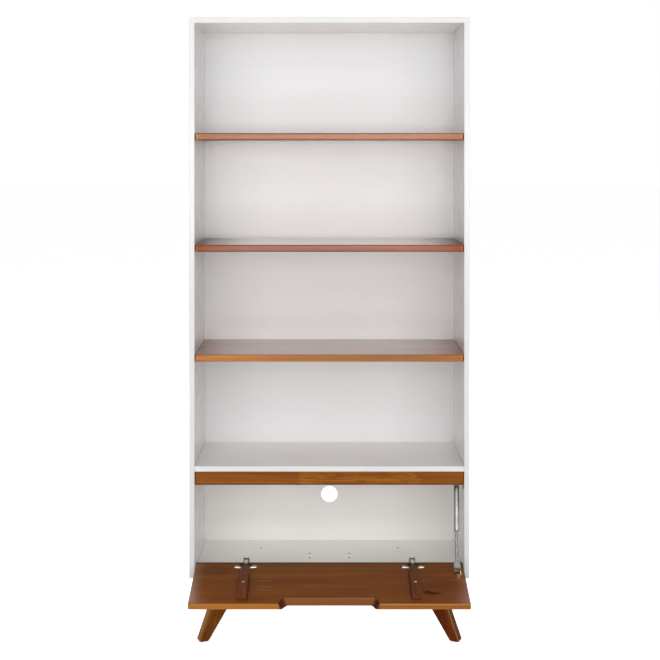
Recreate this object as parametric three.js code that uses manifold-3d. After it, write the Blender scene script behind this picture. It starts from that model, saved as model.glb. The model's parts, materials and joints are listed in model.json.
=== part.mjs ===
// Tall bookcase: a white board carcass with three brown wood shelves and one fixed white shelf, over a lower
// compartment that one bottom-hinged flap door closes. The flap rests open here, held by a gas strut on the right.
// It stands on four splayed plank legs at the ends of two crossed beams.
// Millimetres, +Z up, the front towards -Y. The origin is on the floor, under the middle of the whole part.

import * as THREE from 'three';
import { mergeVertices } from 'three/addons/utils/BufferGeometryUtils.js';
import Module from 'manifold-3d';

const wasm = await Module();
wasm.setup();

// Clearances that all pieces share
const fitGap = 0.3;
const overrun = 5;

// Carcass panels
const carcassWidth = 800;
const carcassHeight = 1600;
const carcassDepth = 350;
const panelThickness = 15;
const panelArris = 0.8;
const backThickness = 6;
const backRebate = 7;
const cableHoleRadius = 25;
const cableHoleRise = 141.5;

// Lower compartment, its front rail and the bays above it, from the bottom up
const compartmentHeight = 250;
const railHeight = 39;
const railThickness = 12;
const railRecess = 2;
const lowerBayHeight = 297.5;
const middleBayHeight = 294;
const upperBayHeight = 299.5;
const shelfThickness = 20;
const shelfRecess = 5;
const woodArris = 3.5;

// Base: two crossed beams with a plank leg at each end; reaches run from the middle of the base
const footHeight = 190;
const beamThickness = 29;
const beamHeight = 45;
const footOutreach = 6.5;
const footSetback = 26;
const legSplay = 70.1;
const legTopWidth = 80;
const legFootWidth = 27.4;
const legArris = 1.5;
const legCornerCut = 3;
const tenonLength = 25;
const tenonHeight = 22;
const tenonThickness = 10;
const glideRadius = 9;
const glideThickness = 2;
const glideStemRadius = 2;
const glideStemLength = 12;
const innerScrewReach = 63.4;
const outerScrewInset = 112.8;

// Flap door, drawn closed in its own frame and then turned open about its pivot
const doorThickness = 17;
const doorSideGap = 4;
const doorEdgeGap = 2;
const doorArris = 1.5;
const doorSwing = THREE.MathUtils.degToRad(99.8);
const pivotSetback = 2.5;
const pivotRise = 12;
const notchOuterHalfWidth = 127.5;
const notchOuterDepth = 22.5;
const notchOuterRun = 12;
const notchOuterFillet = 12;
const notchInnerHalfWidth = 137.5;
const notchInnerDepth = 35;
const notchInnerRun = 11;
const notchInnerFillet = 15;
const battenWidth = 25;
const battenThickness = 12;
const battenStart = 44;
const battenEnd = 227;
const battenArris = 1.5;
const battenScrewReach = 143;

// Concealed hinges
const hingeInset = 147.3;
const cupRadius = 17.5;
const cupDepth = 11.8;
const cupWall = 1;
const cupSetback = 24.5;
const flangeLength = 64;
const flangeHeight = 17;
const flangeThickness = 1.2;
const cupScrewOffset = 24;
const armWidth = 15;
const armWall = 1.5;
const armBackReach = 80;
const armTop = 20;
const armFoot = 4;
const armBackCorner = 4;
const crankBackReach = 36;
const crankFrontReach = 26;
const noseHeight = 7.5;
const noseClearance = 2.6;
const noseOverlap = 3;
const noseCorner = 2.5;
const noseBackReach = 21;
const noseBackDrop = 6.5;
const heelReach = 30;
const plateWingSpan = 46;
const plateWingDepth = 16;
const plateThickness = 2;
const plateRibBackReach = 76;
const plateRibFrontReach = 40;
const plateRibSlack = 0.6;
const plateScrewInset = 7;
const linkWidth = 9;
const linkThickness = 1.8;
const linkEyeRadius = 2.6;
const linkPinRadius = 1.5;
const linkPinDepth = 3;
const linkPinDrop = 4.5;
const linkEndGap = 0.6;
const linkPinGap = 0.45;

// Gas strut; its lower ball rides on the door and its upper ball lies behind the front rail
const lowerBallInset = 25.5;
const lowerBallReach = 57.4;
const lowerBallStandoff = 16.4;
const upperBallInset = 19;
const upperBallSetback = 38;
const upperBallDrop = 36;
const ballRadius = 4;
const ballNeckRadius = 2.5;
const ballClearance = 0.6;
const studEndGap = 0.6;
const socketWidth = 17;
const socketThickness = 13;
const socketShort = 6.5;
const socketLong = 13;
const socketTaper = 6;
const socketNarrowWidth = 11;
const socketArris = 1.5;
const socketSeat = 6;
const rodRadius = 3.8;
const cylinderNeckRadius = 3.2;
const pistonLength = 6;
const cylinderRadius = 7.5;
const cylinderWall = 1.2;
const cylinderCap = 4;
const cylinderShoulder = 2;
const cylinderStart = 95;
const glandLength = 8;
const glandInset = 0.5;
const lowerPlateThickness = 2;
const lowerPlateWidth = 19;
const lowerPlateStart = 48;
const lowerPlateShoulder = 72;
const lowerPlateEnd = 95;
const lowerPlateTipHalfWidth = 4;
const lowerEarThickness = 1.7;
const lowerEarLength = 18;
const lowerEarSideGap = 0.8;
const lowerEarCrown = 5;
const upperPlateThickness = 2;
const upperPlateWidth = 18;
const upperPlateHeight = 40;
const upperPlateScrewOffset = 14;

// Countersunk screws
const screwHeadRadius = 4;
const screwHeadDepth = 2.4;
const screwShankRadius = 1.8;
const screwTip = 3;
const screwDriveRadius = 1.5;
const screwDriveDepth = 1;
const baseScrewLength = 45;
const plateScrewLength = 13;
const cupScrewLength = 12;
const battenScrewLength = 24;
const bracketScrewLength = 13;

// Counts of facets
const screwSides = 10;
const turnedSides = 24;
const holeSides = 48;
const arrisSteps = 2;
const fineArrisSteps = 1;
const filletSteps = 5;

// Places worked out from the sizes above. The cabinet's own frame has its front plane at y = 0, depth along +y
// and the underside of the carcass at z = 0.
const halfWidth = carcassWidth / 2;
const innerHalfWidth = halfWidth - panelThickness;
const innerDepth = carcassDepth - backThickness;
const legFootReach = halfWidth + footOutreach;
const legTopReach = legFootReach - legSplay;
const baseAngle = Math.asin((carcassDepth / 2 - footSetback) / legFootReach);
const outerScrewReach = legTopReach - outerScrewInset;
const hingeOffset = innerHalfWidth - hingeInset;
const lowerBallX = innerHalfWidth - lowerBallInset;
const upperBallX = innerHalfWidth - upperBallInset;
const sideHeight = carcassHeight - panelThickness;
const railBottom = panelThickness + compartmentHeight;
const fixedShelfBottom = railBottom + railHeight;
const lowerShelfBottom = fixedShelfBottom + panelThickness + lowerBayHeight;
const middleShelfBottom = lowerShelfBottom + shelfThickness + middleBayHeight;
const upperShelfBottom = middleShelfBottom + shelfThickness + upperBayHeight;
const cableHoleHeight = panelThickness + cableHoleRise;

// The door's own frame has its origin on the pivot and is drawn closed.
const pivotHeight = panelThickness + pivotRise;
const doorHalfWidth = innerHalfWidth - doorSideGap;
const doorOuterY = -pivotSetback;
const doorInnerY = doorThickness - pivotSetback;
const doorLowZ = doorEdgeGap - pivotRise;
const doorHighZ = doorLowZ + compartmentHeight - 2 * doorEdgeGap;
const cupCentreZ = doorLowZ + cupSetback;
const cupInnerRadius = cupRadius - cupWall;

// The middle of the part lies between the back of the carcass and the foremost point of the open door.
const doorReach = (doorHighZ - doorArris) * Math.sin(doorSwing)
  - (doorInnerY - doorArris) * Math.cos(doorSwing) + doorArris - pivotSetback;
const frontPlaneY = (doorReach - carcassDepth) / 2;

const axisX = new THREE.Vector3(1, 0, 0);
const axisY = new THREE.Vector3(0, 1, 0);
const axisZ = new THREE.Vector3(0, 0, 1);

// A point of the door's frame, as it lies in the cabinet's frame with the door open
function openDoorPoint(x, y, z) {
  const point = new THREE.Vector3(x, y, z).applyAxisAngle(axisX, doorSwing);
  return point.add(new THREE.Vector3(0, pivotSetback, pivotHeight));
}

const hingeEdge = openDoorPoint(0, doorInnerY, doorLowZ);
const lowerBall = openDoorPoint(lowerBallX, doorInnerY + lowerBallStandoff, doorLowZ + lowerBallReach);
const upperBall = new THREE.Vector3(upperBallX, upperBallSetback, fixedShelfBottom - upperBallDrop);

// Materials
function paint(color, roughness, metalness) {
  return new THREE.MeshStandardMaterial({ color, roughness, metalness });
}
const whiteLacquer = () => paint(0xe6e4e0, 0.3, 0);
const brownWood = () => paint(0x8a552c, 0.4, 0);
const zincSteel = () => paint(0xc4c5c8, 0.3, 1);
const darkSteel = () => paint(0x3a3836, 0.45, 1);
const greyPlastic = () => paint(0x8b8e92, 0.5, 0);

// Solids: from three.js geometry to a closed solid, and back
function solid(geometry) {
  const bare = geometry.clone();
  bare.deleteAttribute('normal');
  bare.deleteAttribute('uv');
  const merged = mergeVertices(bare);
  const corners = merged.index.array;
  const faces = [];
  for (let i = 0; i < corners.length; i += 3) {
    const [a, b, c] = corners.slice(i, i + 3);
    if (a !== b && b !== c && c !== a) {
      faces.push(a, b, c);
    }
  }
  const vertProperties = merged.attributes.position.array;
  return new wasm.Manifold(new wasm.Mesh({ numProp: 3, vertProperties, triVerts: new Uint32Array(faces) }));
}

function geometryOf(body) {
  const { vertProperties, triVerts } = body.getMesh();
  const geometry = new THREE.BufferGeometry();
  geometry.setAttribute('position', new THREE.BufferAttribute(vertProperties, 3));
  geometry.setIndex(new THREE.BufferAttribute(triVerts, 1));
  geometry.computeVertexNormals();
  return geometry;
}

function cut(body, cutters) {
  return cutters.reduce((left, cutter) => left.subtract(cutter), body);
}

// Places one named piece in a group, from its solid
function place(group, name, body, material) {
  const mesh = new THREE.Mesh(geometryOf(body), material);
  mesh.name = name;
  group.add(mesh);
  return mesh;
}

// Outlines and the shapes made from them
function shapeOf(points) {
  return new THREE.Shape(points.map(([x, y]) => new THREE.Vector2(x, y)));
}

// Extrudes an outline to both sides of its own plane; an arris eases every edge of the two faces
function slab(points, thickness, arris = 0, steps = fineArrisSteps) {
  const options = { depth: thickness - 2 * arris, bevelEnabled: arris > 0, steps: 1 };
  Object.assign(options, { bevelSize: arris, bevelOffset: -arris, bevelThickness: arris, bevelSegments: steps });
  return new THREE.ExtrudeGeometry(shapeOf(points), options).translate(0, 0, arris - thickness / 2);
}

// Turns a flat outline's x and y onto two axes of the frame
function standing(geometry, first, second) {
  const third = new THREE.Vector3().crossVectors(first, second);
  return geometry.applyMatrix4(new THREE.Matrix4().makeBasis(first, second, third));
}

// A board between low and high places on each axis, its edges eased by an arris
function board([lowX, highX], [lowY, highY], [lowZ, highZ], arris = panelArris, steps = fineArrisSteps) {
  const outline = new THREE.Shape();
  const corner = arris * (1 + 1 / (steps + 1));
  const [halfX, halfY] = [(highX - lowX) / 2, (highY - lowY) / 2];
  const [shortX, shortY] = [halfX - corner, halfY - corner];
  outline.absarc(shortX, shortY, corner, 0, Math.PI / 2);
  outline.absarc(-shortX, shortY, corner, Math.PI / 2, Math.PI);
  outline.absarc(-shortX, -shortY, corner, Math.PI, 1.5 * Math.PI);
  outline.absarc(shortX, -shortY, corner, 1.5 * Math.PI, 2 * Math.PI);
  const points = outline.extractPoints(steps + 1).shape.map((point) => [point.x, point.y]);
  const height = highZ - lowZ;
  const body = slab(points, height, arris, steps);
  return solid(body.translate(lowX + halfX, lowY + halfY, lowZ + height / 2));
}

function block([lowX, highX], [lowY, highY], [lowZ, highZ]) {
  const box = new THREE.BoxGeometry(highX - lowX, highY - lowY, highZ - lowZ);
  return solid(box.translate((lowX + highX) / 2, (lowY + highY) / 2, (lowZ + highZ) / 2));
}

// A turned solid: its profile is radius and height, its axis starts at a point and runs along a direction
function turned(profile, sides, at, along) {
  const points = profile.map(([radius, height]) => new THREE.Vector2(radius, height));
  const body = new THREE.LatheGeometry(points, sides);
  body.applyQuaternion(new THREE.Quaternion().setFromUnitVectors(axisY, along));
  return solid(body.translate(at.x, at.y, at.z));
}

function rod(radius, from, to, at, along, sides = turnedSides) {
  return turned([[0, from], [radius, from], [radius, to], [0, to]], sides, at, along);
}

// Countersunk screw and the hole that it needs; the head's face is at the point and looks along the direction
function screw(length, at, outward) {
  const profile = [
    [0, -length],
    [screwShankRadius, screwTip - length],
    [screwShankRadius, -screwHeadDepth],
    [screwHeadRadius, 0],
    [screwDriveRadius, 0],
    [0, -screwDriveDepth],
  ];
  return turned(profile, screwSides, at, outward);
}

function screwHole(length, at, outward) {
  const profile = [
    [0, -length - fitGap],
    [screwShankRadius + fitGap, -length - fitGap],
    [screwShankRadius + fitGap, -screwHeadDepth - fitGap],
    [screwHeadRadius + fitGap, 0],
    [screwHeadRadius + fitGap, overrun],
    [0, overrun],
  ];
  return turned(profile, screwSides, at, outward);
}

// Groups: the cabinet's frame, and the door's frame turned open inside it
const bookcase = new THREE.Group();
const cabinet = new THREE.Group();
cabinet.position.set(0, frontPlaneY, footHeight);
bookcase.add(cabinet);
const door = new THREE.Group();
door.position.set(0, pivotSetback, pivotHeight);
door.rotation.x = doorSwing;
cabinet.add(door);

// Fasteners that hold the base: where their heads lie in the bottom panel, two on each half of each beam
const baseScrewPlaces = [];
for (const [beamName, turn] of [['one', -baseAngle], ['two', baseAngle]]) {
  for (const [end, side] of [['right', 1], ['left', -1]]) {
    for (const [rank, reach] of [['inner', innerScrewReach], ['outer', outerScrewReach]]) {
      const across = side * reach;
      const at = new THREE.Vector3(across * Math.cos(turn), across * Math.sin(turn), panelThickness);
      at.y += carcassDepth / 2;
      baseScrewPlaces.push({ name: `base_screw_${beamName}_${end}_${rank}`, at, turn, across });
    }
  }
}

// Fasteners of the hinge plates and of the strut's upper bracket
const hinges = [['left', -hingeOffset], ['right', hingeOffset]];
const plateMiddle = (plateRibBackReach + plateRibFrontReach) / 2;
const plateScrewOffset = plateWingSpan / 2 - plateScrewInset;
const plateScrewPlaces = [];
for (const [side, hingeX] of hinges) {
  for (const [rank, offset] of [['outer', plateScrewOffset], ['inner', -plateScrewOffset]]) {
    const x = hingeX + Math.sign(hingeX) * offset;
    const at = new THREE.Vector3(x, plateMiddle, panelThickness + plateThickness);
    plateScrewPlaces.push({ name: `hinge_plate_screw_${side}_${rank}`, at });
  }
}
const upperPlateFace = innerHalfWidth - upperPlateThickness;
const upperScrewPlaces = [['top', upperPlateScrewOffset], ['bottom', -upperPlateScrewOffset]].map(
  ([rank, offset]) => ({
    name: `strut_upper_screw_${rank}`,
    at: new THREE.Vector3(upperPlateFace, upperBall.y, upperBall.z + offset),
  }),
);
const inward = axisX.clone().negate();

// Side panels run from the underside of the carcass to the top panel, with a rebate for the back
function sidePanelSolid(side) {
  const outline = new THREE.Shape();
  outline.moveTo(halfWidth, carcassDepth);
  outline.lineTo(innerHalfWidth + backRebate, carcassDepth);
  outline.lineTo(innerHalfWidth + backRebate, innerDepth);
  outline.lineTo(innerHalfWidth, innerDepth);
  outline.absarc(innerHalfWidth + panelArris, panelArris, panelArris, Math.PI, 1.5 * Math.PI);
  outline.absarc(halfWidth - panelArris, panelArris, panelArris, 1.5 * Math.PI, 2 * Math.PI);
  const points = outline.extractPoints(arrisSteps).shape.map((point) => [side * point.x, point.y]);
  return solid(slab(points, sideHeight).translate(0, 0, sideHeight / 2));
}

function addCarcass() {
  place(cabinet, 'side_panel_left', sidePanelSolid(-1), whiteLacquer());
  const holes = upperScrewPlaces.map(({ at }) => screwHole(bracketScrewLength, at, inward));
  place(cabinet, 'side_panel_right', cut(sidePanelSolid(1), holes), whiteLacquer());

  const across = [-innerHalfWidth, innerHalfWidth];
  const topPanel = board([-halfWidth, halfWidth], [0, carcassDepth], [sideHeight, carcassHeight]);
  place(cabinet, 'top_panel', topPanel, whiteLacquer());

  const floorHoles = [
    ...baseScrewPlaces.map(({ at }) => screwHole(baseScrewLength, at, axisZ)),
    ...plateScrewPlaces.map(({ at }) => screwHole(plateScrewLength, at, axisZ)),
  ];
  const bottomPanel = cut(board(across, [0, innerDepth], [0, panelThickness]), floorHoles);
  place(cabinet, 'bottom_panel', bottomPanel, whiteLacquer());

  const fixedShelf = board(across, [0, innerDepth], [fixedShelfBottom, fixedShelfBottom + panelThickness]);
  place(cabinet, 'fixed_shelf', fixedShelf, whiteLacquer());

  const backHalfWidth = innerHalfWidth + backRebate;
  const backBoard = block([-backHalfWidth, backHalfWidth], [innerDepth, carcassDepth], [0, sideHeight]);
  const cableHoleAt = new THREE.Vector3(0, innerDepth, cableHoleHeight);
  const cableHole = rod(cableHoleRadius, -overrun, backThickness + overrun, cableHoleAt, axisY, holeSides);
  place(cabinet, 'back_panel', backBoard.subtract(cableHole), whiteLacquer());
}

function addShelves() {
  const across = [-innerHalfWidth, innerHalfWidth];
  const places = [['lower', lowerShelfBottom], ['middle', middleShelfBottom], ['upper', upperShelfBottom]];
  for (const [rank, bottom] of places) {
    const levels = [bottom, bottom + shelfThickness];
    const shelf = board(across, [shelfRecess, innerDepth], levels, woodArris, arrisSteps);
    place(cabinet, `shelf_${rank}`, shelf, brownWood());
  }
  const railDepths = [railRecess, railRecess + railThickness];
  const rail = board(across, railDepths, [railBottom, fixedShelfBottom], woodArris, arrisSteps);
  place(cabinet, 'front_rail', rail, brownWood());
}

// One leg: a tapered, splayed plank with a tenon into the beam, in the beam's frame
function legReachAt(height, topReach, footReach) {
  return topReach + (footReach - topReach) * (-height / footHeight);
}
const outerLegReach = (height) => legReachAt(height, legTopReach, legFootReach);
const innerLegReach = (height) => legReachAt(height, legTopReach - legTopWidth, legFootReach - legFootWidth);
const legBottom = glideThickness + fitGap - footHeight;
const tenonMiddle = -beamHeight / 2;

function legSolid(glideHole) {
  const cutTop = legBottom + legCornerCut;
  const outline = [
    [innerLegReach(legBottom) + legCornerCut, legBottom],
    [outerLegReach(legBottom) - legCornerCut, legBottom],
    [outerLegReach(cutTop), cutTop],
    [outerLegReach(-fitGap), -fitGap],
    [innerLegReach(-fitGap), -fitGap],
    [innerLegReach(cutTop), cutTop],
  ];
  const plank = solid(standing(slab(outline, beamThickness, legArris), axisX, axisZ));
  const tenonRoot = innerLegReach(tenonMiddle);
  const tenon = block(
    [tenonRoot - tenonLength, tenonRoot + tenonLength],
    [-tenonThickness / 2, tenonThickness / 2],
    [tenonMiddle - tenonHeight / 2, tenonMiddle + tenonHeight / 2],
  );
  return plank.add(tenon).subtract(glideHole);
}

const glideReach = legFootReach - legFootWidth / 2;
const glideAt = new THREE.Vector3(glideReach, 0, -footHeight);

function glideSolid(slack) {
  const profile = [
    [0, 0],
    [glideRadius, 0],
    [glideRadius, glideThickness],
    [glideStemRadius, glideThickness],
    [glideStemRadius, glideThickness + glideStemLength],
    [0, glideThickness + glideStemLength],
  ];
  const hole = [
    [0, 0],
    [glideStemRadius + slack, 0],
    [glideStemRadius + slack, glideThickness + glideStemLength + slack],
    [0, glideThickness + glideStemLength + slack],
  ];
  return turned(slack > 0 ? hole : profile, turnedSides, glideAt, axisZ);
}

// One beam, with its half of the crossing lap, the mortises at its ends and its screw holes
function beamSolid(turn, isUpper, screwPlaces) {
  const bottom = -fitGap - beamHeight;
  const endGap = (height) => innerLegReach(height) - fitGap;
  const outline = [
    [-endGap(bottom), bottom],
    [endGap(bottom), bottom],
    [endGap(-fitGap), -fitGap],
    [-endGap(-fitGap), -fitGap],
  ];
  const beam = solid(standing(slab(outline, beamThickness), axisX, axisZ));
  const lapHeights = isUpper ? [bottom - overrun, tenonMiddle + fitGap / 2] : [tenonMiddle - fitGap / 2, overrun];
  const lapWidth = beamThickness / 2 + fitGap;
  const lap = block([-beamThickness * 3, beamThickness * 3], [-lapWidth, lapWidth], lapHeights);
  const mortiseReach = innerLegReach(tenonMiddle) - tenonLength - fitGap;
  const mortiseWidth = tenonThickness / 2 + fitGap;
  const mortiseHeight = tenonHeight / 2 + fitGap;
  const heights = [tenonMiddle - mortiseHeight, tenonMiddle + mortiseHeight];
  const mortises = [[mortiseReach, legFootReach], [-legFootReach, -mortiseReach]].map(
    (reaches) => block(reaches, [-mortiseWidth, mortiseWidth], heights),
  );
  const holes = screwPlaces.map(
    ({ across }) => screwHole(baseScrewLength, new THREE.Vector3(across, 0, panelThickness), axisZ),
  );
  const otherWay = THREE.MathUtils.radToDeg(-2 * turn);
  return cut(beam, [lap.rotate([0, 0, otherWay]), ...mortises, ...holes]);
}

function addBase() {
  const ends = { one: ['front_right', 'rear_left'], two: ['rear_right', 'front_left'] };
  for (const [beamName, turn] of [['one', -baseAngle], ['two', baseAngle]]) {
    const frame = new THREE.Group();
    frame.position.set(0, carcassDepth / 2, 0);
    frame.rotation.z = turn;
    cabinet.add(frame);
    const screwPlaces = baseScrewPlaces.filter((one) => one.turn === turn);
    const beam = beamSolid(turn, beamName === 'one', screwPlaces);
    place(frame, `base_beam_${beamName}`, beam, brownWood());
    ends[beamName].forEach((corner, index) => {
      const half = new THREE.Group();
      half.rotation.z = index * Math.PI;
      frame.add(half);
      place(half, `leg_${corner}`, legSolid(glideSolid(fitGap)), brownWood());
      place(half, `foot_glide_${corner}`, glideSolid(0), greyPlastic());
    });
  }
  for (const { name, at } of baseScrewPlaces) {
    place(cabinet, name, screw(baseScrewLength, at, axisZ), darkSteel());
  }
}

// The finger notch in the door's free edge is wider and deeper at the inner face than at the outer one.
function notchOutline(halfMouth, depth, run, fillet) {
  const slant = Math.atan2(depth, run);
  const shoulder = halfMouth - run;
  const setback = fillet * Math.tan(slant / 2);
  const [centreX, centreZ] = [shoulder - setback, fillet - depth];
  const half = [[halfMouth + run * (overrun / depth), overrun]];
  for (let i = 0; i <= filletSteps; i += 1) {
    const angle = slant * (1 - i / filletSteps) - Math.PI / 2;
    half.push([centreX + fillet * Math.cos(angle), centreZ + fillet * Math.sin(angle)]);
  }
  const mirrored = half.map(([x, z]) => [-x, z]).reverse();
  return [...half, ...mirrored];
}

// A solid between two clockwise outlines of as many points, each at its own place on the second axis
function loft(first, second, from, to) {
  const count = first.length;
  const corners = [...first.map(([x, z]) => [x, from, z]), ...second.map(([x, z]) => [x, to, z])];
  const lid = THREE.ShapeUtils.triangulateShape(first.map(([x, z]) => new THREE.Vector2(x, z)), []);
  const faces = [];
  for (const [a, b, c] of lid) {
    faces.push([a, b, c], [count + a, count + c, count + b]);
  }
  for (let i = 0; i < count; i += 1) {
    const next = (i + 1) % count;
    faces.push([i, next, count + i], [next, count + next, count + i]);
  }
  const geometry = new THREE.BufferGeometry();
  geometry.setAttribute('position', new THREE.Float32BufferAttribute(corners.flat(), 3));
  geometry.setIndex(faces.flat());
  return solid(geometry);
}

function notchSolid() {
  const outer = notchOutline(notchOuterHalfWidth, notchOuterDepth, notchOuterRun, notchOuterFillet);
  const inner = notchOutline(notchInnerHalfWidth, notchInnerDepth, notchInnerRun, notchInnerFillet);
  const along = (share) => outer.map(([x, z], i) => {
    const [innerX, innerZ] = inner[i];
    return [x + (innerX - x) * share, z + (innerZ - z) * share + doorHighZ];
  });
  const past = overrun / doorThickness;
  return loft(along(-past), along(1 + past), doorOuterY - overrun, doorInnerY + overrun);
}

// Places on the door's inner face
const cupScrewPlaces = [];
const battenScrewPlaces = [];
for (const [side, hingeX] of hinges) {
  for (const [rank, offset] of [['outer', cupScrewOffset], ['inner', -cupScrewOffset]]) {
    const x = hingeX + Math.sign(hingeX) * offset;
    const at = new THREE.Vector3(x, doorInnerY + fitGap + flangeThickness, cupCentreZ);
    cupScrewPlaces.push({ name: `hinge_cup_screw_${side}_${rank}`, side, at });
  }
  const at = new THREE.Vector3(hingeX, doorInnerY + fitGap + battenThickness, doorLowZ + battenScrewReach);
  battenScrewPlaces.push({ name: `batten_screw_${side}`, side, at });
}
const lowerPlateY = doorInnerY + fitGap;
const lowerPlateX = lowerBallX + (socketWidth - lowerPlateWidth) / 2 + lowerEarSideGap + lowerEarThickness;
const lowerScrewMargin = screwHeadRadius + 1.5 * lowerPlateThickness;
const lowerScrewPlaces = [
  ['hinge_side', lowerPlateStart + lowerScrewMargin, -screwHeadRadius],
  ['free_side', lowerPlateEnd - lowerScrewMargin - lowerPlateTipHalfWidth, 0],
].map(([rank, reach, offset]) => ({
  name: `strut_lower_screw_${rank}`,
  at: new THREE.Vector3(lowerPlateX + offset, lowerPlateY + lowerPlateThickness, doorLowZ + reach),
}));

function addDoor() {
  const widths = [-doorHalfWidth, doorHalfWidth];
  const panel = board(widths, [doorOuterY, doorInnerY], [doorLowZ, doorHighZ], doorArris, fineArrisSteps);
  const cutters = [notchSolid()];
  for (const [, hingeX] of hinges) {
    const at = new THREE.Vector3(hingeX, doorInnerY, cupCentreZ);
    cutters.push(rod(cupRadius + fitGap, -cupDepth, overrun, at, axisY, turnedSides));
  }
  cutters.push(...cupScrewPlaces.map(({ at }) => screwHole(cupScrewLength, at, axisY)));
  cutters.push(...battenScrewPlaces.map(({ at }) => screwHole(battenScrewLength, at, axisY)));
  cutters.push(...lowerScrewPlaces.map(({ at }) => screwHole(bracketScrewLength, at, axisY)));
  place(door, 'flap_door', cut(panel, cutters), brownWood());

  const battenDepths = [doorInnerY + fitGap, doorInnerY + fitGap + battenThickness];
  const battenReaches = [doorLowZ + battenStart, doorLowZ + battenEnd];
  hinges.forEach(([side, hingeX], index) => {
    const sides = [hingeX - battenWidth / 2, hingeX + battenWidth / 2];
    const batten = board(sides, battenDepths, battenReaches, battenArris);
    const { name, at } = battenScrewPlaces[index];
    const hole = screwHole(battenScrewLength, at, axisY);
    place(door, `door_batten_${side}`, batten.subtract(hole), brownWood());
    place(door, name, screw(battenScrewLength, at, axisY), zincSteel());
  });
}

// Hinge cup: a round pot let into the door, with a winged flange on the door's face
function cupSolid(hingeX, screwPlaces) {
  const centre = new THREE.Vector3(hingeX, doorInnerY + fitGap, cupCentreZ);
  const wingEnd = flangeHeight / 2;
  const wingReach = flangeLength / 2 - wingEnd;
  const wings = new THREE.Shape();
  wings.absarc(wingReach, 0, wingEnd, -Math.PI / 2, Math.PI / 2);
  wings.absarc(-wingReach, 0, wingEnd, Math.PI / 2, 1.5 * Math.PI);
  const points = wings.extractPoints(filletSteps).shape.map((point) => [point.x, point.y]);
  const flange = standing(slab(points, flangeThickness), axisX, axisZ);
  const flangeBody = solid(flange.translate(centre.x, centre.y + flangeThickness / 2, centre.z));
  const pot = rod(cupRadius, -cupDepth, 0, centre, axisY);
  const hollow = rod(cupInnerRadius, cupWall - cupDepth, overrun, centre, axisY);
  const holes = screwPlaces.map(({ at }) => screwHole(cupScrewLength, at, axisY));
  return cut(flangeBody.add(pot), [hollow, ...holes]);
}

// Hinge arm: a cranked channel, open below, that reaches over the door's hinge edge
const noseUnderside = hingeEdge.z + noseClearance;
const noseFrontReach = hingeEdge.y - noseOverlap;

function armOutline() {
  const floor = panelThickness;
  return [
    [armBackReach, floor + armFoot],
    [armBackReach, floor + armTop - armBackCorner],
    [armBackReach - armBackCorner, floor + armTop],
    [crankBackReach, floor + armTop],
    [crankFrontReach, noseUnderside + noseHeight],
    [noseFrontReach + noseCorner, noseUnderside + noseHeight],
    [noseFrontReach, noseUnderside + noseHeight - noseCorner],
    [hingeEdge.y - noseOverlap / 2, noseUnderside],
    [hingeEdge.y + noseOverlap, noseUnderside],
    [noseBackReach, noseUnderside - noseBackDrop],
    [heelReach, floor + armFoot],
  ];
}

// The channel's hollow: the arm's outline, drawn in by the wall along its top and run out below
function channelOutline() {
  const floor = panelThickness;
  const slope = Math.atan2(noseUnderside + noseHeight - floor - armTop, crankBackReach - crankFrontReach);
  const shift = armWall * Math.tan(slope / 2);
  return [
    [armBackReach - armWall, floor],
    [armBackReach - armWall, floor + armTop - armBackCorner - armWall / 2],
    [armBackReach - armBackCorner - armWall / 2, floor + armTop - armWall],
    [crankBackReach + shift, floor + armTop - armWall],
    [crankFrontReach + shift, noseUnderside + noseHeight - armWall],
    [noseFrontReach + noseCorner, noseUnderside + noseHeight - armWall],
    [noseFrontReach - overrun, noseUnderside + noseHeight - armWall - noseCorner],
    [noseFrontReach - overrun, floor],
  ];
}

function armSolid(hingeX) {
  const shell = solid(standing(slab(armOutline(), armWidth), axisY, axisZ).translate(hingeX, 0, 0));
  const hollowWidth = armWidth - 2 * armWall;
  const hollow = solid(standing(slab(channelOutline(), hollowWidth), axisY, axisZ).translate(hingeX, 0, 0));
  return shell.subtract(hollow);
}

// Mounting plate: two screwed wings and a rib that fills the arm's channel
function plateSolid(hingeX, screwPlaces) {
  const floor = panelThickness;
  const wingDepths = [plateMiddle - plateWingDepth / 2, plateMiddle + plateWingDepth / 2];
  const wingSides = [hingeX - plateWingSpan / 2, hingeX + plateWingSpan / 2];
  const wings = block(wingSides, wingDepths, [floor, floor + plateThickness]);
  const ribHalf = armWidth / 2 - armWall - plateRibSlack;
  const ribHeights = [floor, floor + armTop - armWall - fitGap];
  const rib = block([hingeX - ribHalf, hingeX + ribHalf], [plateRibFrontReach, plateRibBackReach], ribHeights);
  const ribBackCut = armBackCorner + armWall;
  const toe = block(
    [hingeX - armWidth, hingeX + armWidth],
    [armBackReach - ribBackCut, armBackReach],
    [floor + armTop - ribBackCut - armWall, floor + armTop],
  );
  const holes = screwPlaces.map(({ at }) => screwHole(plateScrewLength, at, axisZ));
  return cut(wings.add(rib), [toe, ...holes]);
}

// Link: one bar that stands for the hinge's pair, pinned across the cup, its other end free inside the nose
const linkPinY = doorInnerY - linkPinDepth;
const linkPinZ = cupCentreZ - linkPinDrop;

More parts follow.
